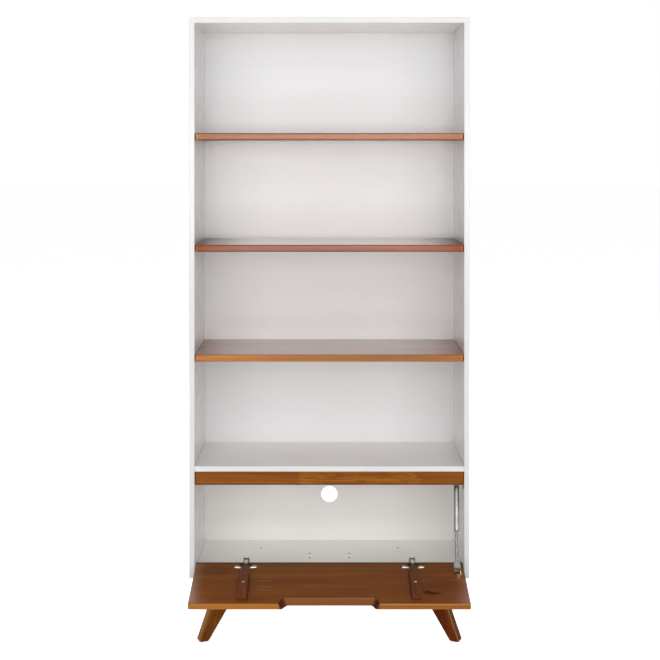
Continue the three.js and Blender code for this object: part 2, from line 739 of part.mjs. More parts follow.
function addLink(side, hingeX) {
  const pin = openDoorPoint(hingeX, linkPinY, linkPinZ);
  const nose = new THREE.Vector3(hingeX, hingeEdge.y + fitGap, noseUnderside + noseHeight / 2);
  const length = pin.distanceTo(nose) - linkEndGap;
  const bar = block([-linkWidth / 2, linkWidth / 2], [-linkThickness / 2, linkThickness / 2], [0, length]);
  const origin = new THREE.Vector3();
  const eye = rod(linkEyeRadius, -linkWidth / 2, linkWidth / 2, origin, axisX, screwSides);
  const pinReach = Math.sqrt(cupInnerRadius ** 2 - (linkPinDrop + linkPinRadius) ** 2) - linkPinGap;
  const axle = rod(linkPinRadius, -pinReach, pinReach, origin, axisX, screwSides);
  const mesh = place(cabinet, `hinge_link_${side}`, bar.add(eye).add(axle), zincSteel());
  mesh.position.copy(pin);
  mesh.quaternion.setFromUnitVectors(axisZ, nose.clone().sub(pin).normalize());
}

function addHinges() {
  for (const [side, hingeX] of hinges) {
    const cupScrews = cupScrewPlaces.filter((one) => one.side === side);
    place(door, `hinge_cup_${side}`, cupSolid(hingeX, cupScrews), zincSteel());
    place(cabinet, `hinge_arm_${side}`, armSolid(hingeX), zincSteel());
    place(cabinet, `hinge_plate_${side}`, plateSolid(hingeX, plateScrewPlaces), zincSteel());
    addLink(side, hingeX);
  }
  for (const { name, at } of cupScrewPlaces) {
    place(door, name, screw(cupScrewLength, at, axisY), zincSteel());
  }
  for (const { name, at } of plateScrewPlaces) {
    place(cabinet, name, screw(plateScrewLength, at, axisZ), zincSteel());
  }
}

// Strut brackets: one stands on the door and carries the lower ball, one lies on the right side panel
function lowerBracketSolid() {
  const half = lowerPlateWidth / 2;
  const outline = [
    [lowerPlateX - half, doorLowZ + lowerPlateStart],
    [lowerPlateX + half, doorLowZ + lowerPlateStart],
    [lowerPlateX + half, doorLowZ + lowerPlateShoulder],
    [lowerPlateX + lowerPlateTipHalfWidth, doorLowZ + lowerPlateEnd],
    [lowerPlateX - lowerPlateTipHalfWidth, doorLowZ + lowerPlateEnd],
    [lowerPlateX - half, doorLowZ + lowerPlateShoulder],
  ];
  const flat = standing(slab(outline, lowerPlateThickness), axisX, axisZ);
  const plate = solid(flat.translate(0, lowerPlateY + lowerPlateThickness / 2, 0));
  const earX = lowerPlateX + half - lowerEarThickness;
  const ballY = doorInnerY + lowerBallStandoff;
  const ballZ = doorLowZ + lowerBallReach;
  const earHalf = lowerEarLength / 2;
  const ear = block(
    [earX, earX + lowerEarThickness],
    [lowerPlateY, ballY + lowerEarCrown],
    [ballZ - earHalf, ballZ + earHalf],
  );
  const stud = turned(
    ballStudProfile(earX + lowerEarThickness / 2 - lowerBallX),
    turnedSides / 2,
    new THREE.Vector3(lowerBallX, ballY, ballZ),
    axisX,
  );
  const holes = lowerScrewPlaces.map(({ at }) => screwHole(bracketScrewLength, at, axisY));
  return cut(plate.add(ear), holes).add(stud);
}

// A ball round the origin on a neck that runs up to a height
function ballStudProfile(neckEnd) {
  const neckAngle = Math.asin(ballNeckRadius / ballRadius);
  const profile = [];
  for (let i = 0; i <= filletSteps; i += 1) {
    const angle = Math.PI + (neckAngle - Math.PI) * (i / filletSteps);
    profile.push([ballRadius * Math.sin(angle), ballRadius * Math.cos(angle)]);
  }
  profile[0][0] = 0;
  return [...profile, [ballNeckRadius, neckEnd], [0, neckEnd]];
}

function upperBracketSolid() {
  const plate = block(
    [upperPlateFace, innerHalfWidth],
    [upperBall.y - upperPlateWidth / 2, upperBall.y + upperPlateWidth / 2],
    [upperBall.z - upperPlateHeight / 2, upperBall.z + upperPlateHeight / 2],
  );
  const studEnd = upperBallX + socketWidth / 2 + studEndGap;
  const headEnd = (studEnd + upperPlateFace) / 2;
  const profile = [
    [0, studEnd],
    [ballRadius, studEnd],
    [ballRadius, headEnd],
    [ballNeckRadius, headEnd],
    [ballNeckRadius, innerHalfWidth - upperPlateThickness / 2],
    [0, innerHalfWidth - upperPlateThickness / 2],
  ];
  const stud = turned(profile, turnedSides / 2, new THREE.Vector3(0, upperBall.y, upperBall.z), axisX);
  const holes = upperScrewPlaces.map(({ at }) => screwHole(bracketScrewLength, at, inward));
  return cut(plate, holes).add(stud);
}

// The strut's frame: its origin on the lower ball, +z along the strut
const strutLength = upperBall.distanceTo(lowerBall);
const cylinderEnd = strutLength - socketLong;
const cylinderBore = cylinderRadius - cylinderWall;
const origin = new THREE.Vector3();

// A socket is a flat block that narrows towards the end where the strut enters it.
function socketSolid(ballEnd, strutEnd) {
  const wide = socketWidth / 2;
  const narrow = socketNarrowWidth / 2;
  const taperStart = strutEnd - Math.sign(strutEnd - ballEnd) * socketTaper;
  const half = [[wide, ballEnd], [wide, taperStart], [narrow, strutEnd]];
  const outline = [...half, ...half.map(([x, z]) => [-x, z]).reverse()];
  return solid(standing(slab(outline, socketThickness, socketArris), axisX, axisZ));
}

function addStrut() {
  const along = upperBall.clone().sub(lowerBall).normalize();
  const sideways = axisX.clone().addScaledVector(along, -along.x).normalize();
  const frame = new THREE.Group();
  frame.position.copy(lowerBall);
  const turn = new THREE.Matrix4().makeBasis(sideways, new THREE.Vector3().crossVectors(along, sideways), along);
  frame.quaternion.setFromRotationMatrix(turn);
  cabinet.add(frame);

  const ballBore = rod(ballRadius + ballClearance, -ballRadius - ballClearance, socketWidth, origin, axisX);
  const rodHole = rod(rodRadius + fitGap, socketSeat, socketLong + overrun, origin, axisZ);
  const lowerSocket = cut(socketSolid(-socketShort, socketLong), [ballBore, rodHole]);
  place(frame, 'strut_lower_socket', lowerSocket, greyPlastic());

  const pistonStart = cylinderStart + glandInset + glandLength + pistonLength;
  const pistonRadius = cylinderBore - fitGap;
  const rodProfile = [
    [0, socketSeat + fitGap],
    [rodRadius, socketSeat + fitGap],
    [rodRadius, pistonStart],
    [pistonRadius, pistonStart],
    [pistonRadius, pistonStart + pistonLength],
    [0, pistonStart + pistonLength],
  ];
  place(frame, 'strut_rod', turned(rodProfile, turnedSides, origin, axisZ), zincSteel());

  const glandStart = cylinderStart + glandInset;
  const gland = rod(cylinderBore - fitGap, glandStart, glandStart + glandLength, origin, axisZ);
  const glandBore = rod(rodRadius + fitGap, cylinderStart - overrun, cylinderEnd, origin, axisZ);
  place(frame, 'strut_gland', gland.subtract(glandBore), darkSteel());

  const neckEnd = cylinderEnd + socketLong - socketSeat - fitGap;
  const cylinderProfile = [
    [0, cylinderEnd - cylinderCap],
    [cylinderBore, cylinderEnd - cylinderCap],
    [cylinderBore, cylinderStart],
    [cylinderRadius, cylinderStart],
    [cylinderRadius, cylinderEnd - fitGap - cylinderShoulder],
    [cylinderRadius - cylinderShoulder, cylinderEnd - fitGap],
    [cylinderNeckRadius, cylinderEnd - fitGap],
    [cylinderNeckRadius, neckEnd],
    [0, neckEnd],
  ];
  place(frame, 'strut_cylinder', turned(cylinderProfile, turnedSides, origin, axisZ), zincSteel());

  const neckHole = rod(cylinderNeckRadius + fitGap, cylinderEnd - overrun, strutLength - socketSeat, origin, axisZ);
  const upperSocket = socketSolid(cylinderEnd, strutLength + socketShort).subtract(neckHole);
  place(frame, 'strut_upper_socket', upperSocket, greyPlastic());

  place(door, 'strut_lower_bracket', lowerBracketSolid(), zincSteel());
  place(cabinet, 'strut_upper_bracket', upperBracketSolid(), zincSteel());
  for (const { name, at } of lowerScrewPlaces) {
    place(door, name, screw(bracketScrewLength, at, axisY), zincSteel());
  }
  for (const { name, at } of upperScrewPlaces) {
    place(cabinet, name, screw(bracketScrewLength, at, inward), zincSteel());
  }
}

addCarcass();
addShelves();
addBase();
addDoor();
addHinges();
addStrut();

export default bookcase;
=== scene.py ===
import json
import math

import bmesh
import bpy
from mathutils import Matrix, Vector


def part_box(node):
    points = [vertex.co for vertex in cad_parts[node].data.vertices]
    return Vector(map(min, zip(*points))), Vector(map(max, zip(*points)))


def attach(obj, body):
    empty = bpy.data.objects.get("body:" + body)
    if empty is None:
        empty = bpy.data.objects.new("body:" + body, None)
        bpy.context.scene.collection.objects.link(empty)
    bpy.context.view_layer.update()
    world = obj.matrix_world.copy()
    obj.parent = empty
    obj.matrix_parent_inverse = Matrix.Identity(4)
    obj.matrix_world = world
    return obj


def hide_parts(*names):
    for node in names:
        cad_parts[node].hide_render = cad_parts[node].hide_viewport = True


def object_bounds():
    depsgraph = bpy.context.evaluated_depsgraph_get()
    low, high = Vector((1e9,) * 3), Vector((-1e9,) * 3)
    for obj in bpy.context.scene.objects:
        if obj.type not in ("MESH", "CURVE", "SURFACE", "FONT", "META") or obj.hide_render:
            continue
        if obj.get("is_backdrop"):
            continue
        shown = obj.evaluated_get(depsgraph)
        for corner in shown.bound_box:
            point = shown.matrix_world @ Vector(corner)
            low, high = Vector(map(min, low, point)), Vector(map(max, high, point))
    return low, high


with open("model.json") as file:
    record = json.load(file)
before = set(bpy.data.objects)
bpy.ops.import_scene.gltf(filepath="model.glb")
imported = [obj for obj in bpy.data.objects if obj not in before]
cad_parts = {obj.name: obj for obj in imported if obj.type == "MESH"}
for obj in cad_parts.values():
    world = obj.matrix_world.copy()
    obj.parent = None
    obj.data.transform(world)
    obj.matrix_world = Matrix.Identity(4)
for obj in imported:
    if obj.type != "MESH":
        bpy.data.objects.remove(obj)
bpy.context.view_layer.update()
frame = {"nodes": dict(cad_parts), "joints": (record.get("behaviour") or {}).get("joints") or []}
cad = frame["nodes"]

# Places in the row frame, in metres
joints = {joint["name"]: joint for joint in frame["joints"]}
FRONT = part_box("side_panel_left")[0].y
INNER_HALF_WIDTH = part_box("bottom_panel")[1].x
PIVOT = Vector(joints["door_hinge"]["pos_m"])
SWING = math.radians(joints["door_hinge"]["range_deg"][1])
DOOR = Matrix.Translation(PIVOT) @ Matrix.Rotation(SWING, 4, "X")
DOOR_FACE = 0.0145
OUT_OF_DOOR = DOOR.to_3x3() @ Vector((0, 1, 0))
TO_FREE_EDGE = DOOR.to_3x3() @ Vector((0, 0, 1))
DOOR_TOP = (DOOR @ Vector((0, DOOR_FACE, 0))).dot(OUT_OF_DOOR)
HINGE_X = (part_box("hinge_arm_right")[0].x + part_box("hinge_arm_right")[1].x) / 2

# Camera: level, square to the front, its frame shifted down to take in the whole case
CAMERA_DISTANCE, CAMERA_HEIGHT, CAMERA_REACH = 4.0, 1.3966, 200
CAMERA_PLACE = Vector((0, FRONT - CAMERA_DISTANCE, CAMERA_HEIGHT))
CAMERA_SHIFT = (0.001, -0.2647)
LENS, SENSOR, FRAME_WIDTH = 76.47, 36, 660

# How a mask finds the edges of a piece: samples, and the turn of the normal where it starts and is full
BEVEL_SAMPLES, EDGE_START, EDGE_FULL = 4, 0.999, 0.85
# Where a Mix node has its two colours and its result
MIX_FIRST, MIX_SECOND, MIX_RESULT = 6, 7, 2


class Nodes:
    """A node tree, built by short calls."""

    def __init__(self, tree):
        self.tree = tree
        self.tree.nodes.clear()

    def feed(self, socket, value):
        """Gives a socket a link or a plain value."""
        if isinstance(value, bpy.types.NodeSocket):
            self.tree.links.new(value, socket)
        else:
            socket.default_value = value

    def node(self, kind, values, **settings):
        """A new shader node, with its settings and the links and values of its inputs."""
        node = self.tree.nodes.new(f"ShaderNode{kind}")
        for name, value in settings.items():
            setattr(node, name, value)
        for pin, value in values.items():
            self.feed(node.inputs[pin], value)
        return node

    def math(self, operation, first, second=0.5):
        return self.node("Math", {0: first, 1: second}, operation=operation).outputs[0]

    def product(self, first, *others):
        """Masks and shares, multiplied."""
        for other in others:
            first = self.math("MULTIPLY", first, other)
        return first


class Paint(Nodes):
    """A node material."""

    def __init__(self, name):
        self.material = bpy.data.materials.new(name)
        self.material.use_nodes = True
        super().__init__(self.material.node_tree)
        self.shader = self.node("BsdfPrincipled", {})
        self.node("OutputMaterial", {"Surface": self.shader.outputs[0]})
        source = self.node("TexCoord", {})
        self.place = source.outputs["Object"]
        self.normal = source.outputs["Normal"]
        self.axes = None

    def mapping(self, scale=(1, 1, 1), turn=(0, 0, 0), move=(0, 0, 0), source=None):
        values = {"Vector": source or self.place, "Location": move, "Rotation": turn, "Scale": scale}
        return self.node("Mapping", values).outputs[0]

    def noise(self, vector, scale=1.0, detail=3.0, roughness=0.5, distortion=0.0):
        values = {"Vector": vector, "Scale": scale, "Detail": detail}
        values.update({"Roughness": roughness, "Distortion": distortion})
        return self.node("TexNoise", values).outputs["Fac"]

    def blob(self, vector):
        return self.node("TexGradient", {"Vector": vector}, gradient_type="SPHERICAL").outputs["Fac"]

    def span(self, value, low, high, to_low=0.0, to_high=1.0):
        """A value mapped from one span to another, and held at its ends."""
        values = {"Value": value, "From Min": low, "From Max": high, "To Min": to_low, "To Max": to_high}
        return self.node("MapRange", values).outputs[0]

    def axis(self, index):
        """One coordinate of the object's own place."""
        if self.axes is None:
            self.axes = self.node("SeparateXYZ", {0: self.place})
        return self.axes.outputs[index]

    def off_middle(self):
        """How far a place lies to the left or right of the middle."""
        return self.math("ABSOLUTE", self.axis(0))

    def band(self, index, low, high, soft, mirrored=False):
        """A mask that is 1 between two places on an axis, with soft borders."""
        value = self.axis(index)
        if mirrored:
            value = self.math("ABSOLUTE", value)
        rise = self.span(value, low - soft, low + soft)
        fall = self.span(value, high - soft, high + soft, 1.0, 0.0)
        return self.product(rise, fall)

    def dot(self, vector, direction):
        values = {0: vector, 1: direction}
        return self.node("VectorMath", values, operation="DOT_PRODUCT").outputs["Value"]

    def facing(self, direction, start=0.8, full=0.95):
        """A mask that is 1 where the object's own surface looks along a direction."""
        return self.span(self.dot(self.normal, direction), start, full)

    def along(self, direction):
        """How far a point of the object reaches along a direction."""
        return self.dot(self.place, direction)

    def normal_axis(self, index):
        """One coordinate of the object's own normal."""
        return self.node("SeparateXYZ", {0: self.normal}).outputs[index]

    def ramp(self, value, stops):
        node = self.node("ValToRGB", {0: value})
        points = node.color_ramp.elements
        while len(points) < len(stops):
            points.new(0.5)
        for point, (place, color) in zip(points, stops):
            point.position = place
            point.color = (*color, 1)
        return node.outputs[0]

    def mix(self, share, first, second, blend="MIX"):
        first, second = ((*c, 1) if isinstance(c, tuple) else c for c in (first, second))
        values = {0: share, MIX_FIRST: first, MIX_SECOND: second}
        return self.node("Mix", values, data_type="RGBA", blend_type=blend).outputs[MIX_RESULT]

    def tinted_by(self, color, factor):
        """A colour multiplied by another."""
        return self.mix(1.0, color, factor, "MULTIPLY")

    def edges(self, radius):
        """A smooth normal over the edges, and a mask that is 1 on them."""
        bevel = self.node("Bevel", {"Radius": radius}, samples=BEVEL_SAMPLES)
        geometry = self.node("NewGeometry", {})
        agreement = self.dot(bevel.outputs[0], geometry.outputs["Normal"])
        return bevel.outputs[0], self.span(agreement, EDGE_START, EDGE_FULL)

    def bump(self, height, distance, strength, normal):
        values = {"Strength": strength, "Distance": distance, "Height": height, "Normal": normal}
        return self.node("Bump", values).outputs[0]

    def finish(
        self, color, roughness, normal=None, metallic=0.0, coat=0.0, coat_roughness=0.2, specular=0.5
    ):
        values = {
            "Base Color": color, "Roughness": roughness, "Metallic": metallic, "Coat Weight": coat,
            "Coat Roughness": coat_roughness, "Specular IOR Level": specular,
        }
        if normal is not None:
            values["Normal"] = normal
        for pin, value in values.items():
            self.feed(self.shader.inputs[pin], value)
        return self.material


def shaded(color, factor):
    """A colour made darker or lighter, up to full white."""
    return tuple(min(1.0, c * factor) for c in color)


def toned(tones, factor):
    """Tones with a factor on each of red, green and blue, up to full white."""
    return tuple(tuple(min(1.0, c * f) for c, f in zip(tone, factor)) for tone in tones)


# Where a noise is read as none and as full, and the radius that each material's arrises seem to have
SOFT_NOISE = (0.3, 0.7)
BOARD_ARRIS, WOOD_ARRIS, METAL_ARRIS, PLASTIC_ARRIS = 0.0012, 0.0015, 0.0004, 0.0006

# White board: the scales of its clouds, orange peel and sheen, and the shades of its clouds and worn arrises
BOARD_SEEDS = (1, 0.7, 1.3)
CLOUD_SCALE, PEEL_SCALE, SHEEN_SCALE, BOARD_SHEEN = 3.5, 300, 30, 0.06
CLOUD_SHADE, WORN_SHADE, WORN_SHARE = 0.975, 0.82, 0.35
PEEL_HEIGHT, PEEL_STRENGTH = 0.00001, 0.15
# A warm tint painted on a board's front below a height, as painted warm light, and the softness of that
# height's border
WARM_LIGHT_TINT, TONE_BORDER = (1.055, 1.02, 0.985), 0.002


def white_board(name, color, seed, gloss=0.15, front_edge_shade=1.0, painted_warm_light_below=None):
    """Satin white board; its front edge is painted darker, as painted shade, and its front is painted warmer
    below a height, as painted warm light.
    """
    paint = Paint(name)
    place = paint.mapping(move=tuple(seed * way for way in BOARD_SEEDS))
    clouds = paint.noise(place, CLOUD_SCALE)
    peel = paint.noise(place, PEEL_SCALE, 2.0)
    smooth, edge = paint.edges(BOARD_ARRIS)
    tone = paint.mix(paint.span(clouds, *SOFT_NOISE), shaded(color, CLOUD_SHADE), color)
    if painted_warm_light_below is not None:
        low = paint.span(paint.axis(2), painted_warm_light_below + TONE_BORDER, painted_warm_light_below - TONE_BORDER)
        tone = paint.mix(paint.product(low, paint.facing((0, -1, 0))), tone, paint.tinted_by(tone, WARM_LIGHT_TINT))
    # The front edge is painted darker: painted shade
    if front_edge_shade != 1.0:
        tone = paint.mix(paint.facing((0, -1, 0)), tone, shaded(color, front_edge_shade))
    worn = paint.mix(paint.product(edge, WORN_SHARE), tone, shaded(color, WORN_SHADE))
    roughness = paint.span(paint.noise(place, SHEEN_SCALE), *SOFT_NOISE, gloss, gloss + BOARD_SHEEN)
    return paint.finish(worn, roughness, paint.bump(peel, PEEL_HEIGHT, PEEL_STRENGTH, smooth))


# Wood: each grain by its scales along and across it, then its noise's scale, detail, roughness and distortion
WOOD_SEEDS = (1, 1.7, 0.6)
WANDER = (1.1, 9, 9), 1.0, 2.0, 0.5, 0.4
RINGS = (1.6, 70, 70), 1.0, 4.0, 0.62, 0.25
FIBRE = (9, 620, 620), 1.0, 3.0, 0.6
PORE = (30, 900, 900), 1.0, 1.0, 0.5
RING_SHARE, WANDER_SHARE, FIGURE_SPREAD = 0.55, 0.45, 0.17
FIBRE_NOISE, FIBRE_SHARE, FIBRE_RISE = (0.35, 0.7), 0.30, 0.5
PORE_NOISE, PORE_SHARE, PORE_SHADE, PORE_RISE = (0.66, 0.74), 0.45, 0.35, -0.8
WOOD_HIGHLIGHT_SHARE, GRAIN_HEIGHT = 0.25, 0.00006
GLOSS_BELOW, GLOSS_ABOVE = 0.04, 0.08
LACQUER_ROUGHNESS, LACQUER_FADE = 0.09, (0.20, 0.39)


def wood(
    name, tones, turn=(0, 0, 0), seed=0.0, gloss=0.34, figure=1.0, relief=0.55, coat=0.0, thin=0.5,
    specular=0.12, marks=None,
):
    """Stained wood with its grain along x of the turned place; marks adds one piece's own marks and its
    painted light and shade.
    """
    dark, middle, light = tones
    paint = Paint(name)
    place = paint.mapping(turn=turn, move=tuple(seed * way for way in WOOD_SEEDS))
    wander, rings, fibre, pore = (
        paint.noise(paint.mapping(scales, source=place), *shape)
        for scales, *shape in (WANDER, RINGS, FIBRE, PORE)
    )
    blend = paint.math("ADD", paint.product(rings, RING_SHARE), paint.product(wander, WANDER_SHARE))
    spread = FIGURE_SPREAD / figure
    figure_share = paint.span(blend, 0.5 - spread, 0.5 + spread)
    color = paint.ramp(figure_share, [(0.0, dark), (0.5, middle), (1.0, light)])
    color = paint.mix(paint.span(fibre, *FIBRE_NOISE, 0.0, FIBRE_SHARE), color, dark)
    pores = paint.span(pore, *PORE_NOISE)
    color = paint.mix(paint.product(pores, PORE_SHARE), color, shaded(dark, PORE_SHADE))
    smooth, edge = paint.edges(WOOD_ARRIS)
    # Arrises are painted lighter: a painted highlight
    color = paint.mix(paint.product(edge, WOOD_HIGHLIGHT_SHARE), color, light)
    if marks:
        color = marks(paint, color)
    height = paint.math("ADD", paint.product(fibre, FIBRE_RISE), paint.product(pores, PORE_RISE))
    roughness = paint.span(rings, *SOFT_NOISE, gloss - GLOSS_BELOW, gloss + GLOSS_ABOVE)
    normal = paint.bump(height, GRAIN_HEIGHT, relief, smooth)
    if coat:
        # The lacquer of a shelf shows less towards its two ends
        way = paint.span(paint.off_middle(), *LACQUER_FADE)
        coat = paint.product(paint.span(paint.product(way, way), 0.0, 1.0, 1.0, thin), coat)
    return paint.finish(
        color, roughness, normal, coat=coat, coat_roughness=LACQUER_ROUGHNESS, specular=specular
    )


BLOT_EDGE = 0.55


def blot(paint, color, place, size, tone, depth):
    """A soft oval mark round a place."""
    move = tuple(-c / s for c, s in zip(place, size))
    near = paint.blob(paint.mapping(tuple(1 / s for s in size), move=move))
    return paint.mix(paint.span(near, 0.0, BLOT_EDGE, 0.0, depth), color, tone)


# Painted shade in the gaps where boards meet the side panels: its width, how far the mask runs past the
# board, its softness, share and tone
GAP_SHADE_WIDTH, PAST_END, GAP_SHADE_SOFT = 0.0032, 0.01, 0.0006
GAP_SHADE_SHARE, GAP_SHADE_TONE = 0.75, (0.05, 0.02, 0.004)


def end_gap_shade(paint, color):
    """Painted shade in the gap where a board meets the side panels."""
    start, end = INNER_HALF_WIDTH - GAP_SHADE_WIDTH, INNER_HALF_WIDTH + PAST_END
    joint = paint.band(0, start, end, GAP_SHADE_SOFT, mirrored=True)
    return paint.mix(paint.product(joint, GAP_SHADE_SHARE), color, GAP_SHADE_TONE)


# The darker tone of a shelf's two ends is painted shade: its share of green and the span where it fades in
ENDS_GREEN, ENDS_FADE = 0.97, (0.20, 0.385)
# A painted highlight in a band just inside each end of a shelf: where it starts and stops, its softness,
# share and tone
END_HIGHLIGHT_FROM, END_HIGHLIGHT_TO, END_HIGHLIGHT_SOFT = 0.0085, 0.0045, 0.001
END_HIGHLIGHT_SHARE, END_HIGHLIGHT_TONE = 0.30, (0.62, 0.30, 0.10)


def shelf_marks(front, ends):
    """Marks of a shelf: its front face takes a tone of its own and its two ends a darker one, as painted
    light and shade, with a painted highlight and painted shade by each end's gap.
    """
    def marks(paint, color):
        front_painted_light = paint.tinted_by(color, front)
        ends_painted_shade = paint.tinted_by(color, (ends, ends * ENDS_GREEN, ends))
        way = paint.span(paint.off_middle(), *ENDS_FADE)
        topping = paint.mix(paint.product(way, way), color, ends_painted_shade)
        color = paint.mix(paint.facing((0, -1, 0)), topping, front_painted_light)
        start, end = INNER_HALF_WIDTH - END_HIGHLIGHT_FROM, INNER_HALF_WIDTH - END_HIGHLIGHT_TO
        end_highlight = paint.band(0, start, end, END_HIGHLIGHT_SOFT, mirrored=True)
        color = paint.mix(paint.product(end_highlight, END_HIGHLIGHT_SHARE), color, END_HIGHLIGHT_TONE)
        return end_gap_shade(paint, color)
    return marks


# The rail's two glue joints, its boards' tones, the golden one's waves, and the painted shade along its foot
# with a painted highlight line above it
RAIL_JOINTS, RAIL_BORDER, RAIL_LINE = (-0.084, 0.264), 0.006, 0.002
GOLDEN, STROKE_TONE, STROKE_SHARE = (1.48, 1.66, 1.25), (0.15, 0.048, 0.007), 0.75
WAVE_SCALES, WAVE_SHAPE = (4.5, 1, 95), (1.0, 2.0, 0.5, 1.6)
STROKE_RISE, STROKE_FALL = (0.48, 0.55), (0.66, 0.59)
YELLOWER = (1.04, 1.05, 0.55)
LINE_SHARE, LINE_TONE = 0.35, (0.12, 0.04, 0.006)
SHADE_TOP, SHADE_SOFT, SHADE_SHARE, SHADE_TONE = 0.0045, 0.001, 0.55, (0.09, 0.035, 0.006)
LIT_LOW, LIT_HIGH, LIT_SOFT, LIT_SHARE, LIT_TONE = 0.0065, 0.0085, 0.0008, 0.25, (0.50, 0.22, 0.06)


def rail_marks(paint, color):
    """The rail has three boards, the middle one golden and wavy, the right one yellower, and painted shade
    along its foot.
    """
    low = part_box("front_rail")[0].z
    golden = paint.band(0, *RAIL_JOINTS, RAIL_BORDER)
    waves = paint.noise(paint.mapping(WAVE_SCALES), *WAVE_SHAPE)
    strokes = paint.product(paint.span(waves, *STROKE_RISE), paint.span(waves, *STROKE_FALL))
    golden_tone = paint.tinted_by(color, GOLDEN)
    golden_tone = paint.mix(paint.product(strokes, STROKE_SHARE), golden_tone, STROKE_TONE)
    color = paint.mix(golden, color, golden_tone)
    start, end = RAIL_JOINTS[1] - RAIL_LINE, RAIL_JOINTS[1] + RAIL_LINE
    color = paint.mix(paint.span(paint.axis(0), start, end), color, paint.tinted_by(color, YELLOWER))
    joint = paint.band(0, start, end, SHADE_SOFT)
    color = paint.mix(paint.product(joint, LINE_SHARE), color, LINE_TONE)
    # Painted shade along the foot, and a painted highlight line above it
    shade = paint.band(2, low - PAST_END, low + SHADE_TOP, SHADE_SOFT)
    line = paint.band(2, low + LIT_LOW, low + LIT_HIGH, LIT_SOFT)
    color = paint.mix(paint.product(line, LIT_SHARE), color, LIT_TONE)
    color = paint.mix(paint.product(shade, SHADE_SHARE), color, SHADE_TONE)
    return end_gap_shade(paint, color)


# Marks on the door: a pixel of the photograph each, then size in metres, tone and share
DARK_SPOT_PIXELS = {(433, 593.2): (0.030, 0.010, 0.03), (427.5, 591.8): (0.014, 0.010, 0.03)}
STREAK_PIXELS = ((268, 577.5), (262, 581), (266, 587), (262, 590))
DULL_PIXELS = ((215, 571), (440, 584))
# Where a painted shadow lies on the door by the strut's lower bracket
CORNER_PIXEL = (461.8, 564.5)
DARK_SPOT_TONE, DARK_SPOT_SHARE = (0.026, 0.003, 0.0), 0.9
STREAK_SIZE, STREAK_TONE, STREAK_SHARE = (0.034, 0.0045, 0.03), (0.36, 0.17, 0.075), 0.45
DULL_SIZE, DULL_TONE, DULL_SHARE = (0.07, 0.045, 0.045), (0.10, 0.026, 0.006), 0.4
CORNER_SIZE, CORNER_SHADOW_TONE, CORNER_SHADOW_SHARE = (0.012, 0.03, 0.03), (0.03, 0.010, 0.005), 0.8

# The door's broad tones: its near side painted lighter as painted light, red and olive patches, pale ends as
# painted reflection, and a dark line at each end as painted shade
NEAR_PAINTED_LIGHT = (1.12, 1.06, 0.75)
PATCH_SCALES, PATCH_PLACE, PATCH_SHAPE = (5, 12, 12), (2.0, 0, 0), (1.0, 2.0, 0.5)
RED_NOISE, RED_SHARE, RED_PATCH = (0.48, 0.62), 0.45, (0.23, 0.052, 0.014)
OLIVE_NOISE, OLIVE_SHARE, OLIVE_PATCH = (0.48, 0.36), 0.35, (0.21, 0.085, 0.012)
PALE_FROM, PALE_FULL, PALE_REFLECTION_SHARES, PALE_REFLECTION_TONE = 0.032, 0.002, (0.72, 0.03), (0.33, 0.18, 0.10)
END_LINE, END_SOFT, DOOR_SHADE_SHARE, END_SHADE_TONE = 0.0024, 0.0006, 0.6, (0.06, 0.035, 0.016)

# Painted shade along the hinge edge and beside the battens
HINGE_SHADE_FROM, HINGE_SHADE_FULL, HINGE_SHADE_TONE = 0.013, 0.007, (0.055, 0.017, 0.006)
BATTEN_LINE, BATTEN_SOFT, BATTEN_STOP, STOP_SOFT = 0.0042, 0.0010, 0.03, 0.006
BATTEN_SHADOW_TONE = (0.05, 0.014, 0.002)

# The free edge, painted lighter and more so on the left, with a painted highlight on its upper arris, and the
# finger notch in it, whose cheeks take painted shade
LEFT_TO_RIGHT, FREE_EDGE_LIGHT_SHARES, FREE_EDGE_LIGHT_TONE = (-0.1, 0.1), (0.54, 0.32), (0.62, 0.25, 0.05)
ARRIS_FROM, ARRIS_FULL, ARRIS_HIGHLIGHT_SHARES, ARRIS_HIGHLIGHT_TONE = 0.0045, 0.002, (0.10, 0.48), (0.75, 0.40, 0.17)
NOTCH_HALF_WIDTH, NOTCH_SOFT, NOTCH_SHARE, NOTCH_TONE = 0.1355, 0.002, 0.85, (0.180, 0.049, 0.009)
CHEEK_FROM, CHEEK_SOFT, CHEEK_TURN, CHEEK_SHADE_TONE = 0.105, 0.004, (0.25, 0.7), (0.060, 0.017, 0.004)


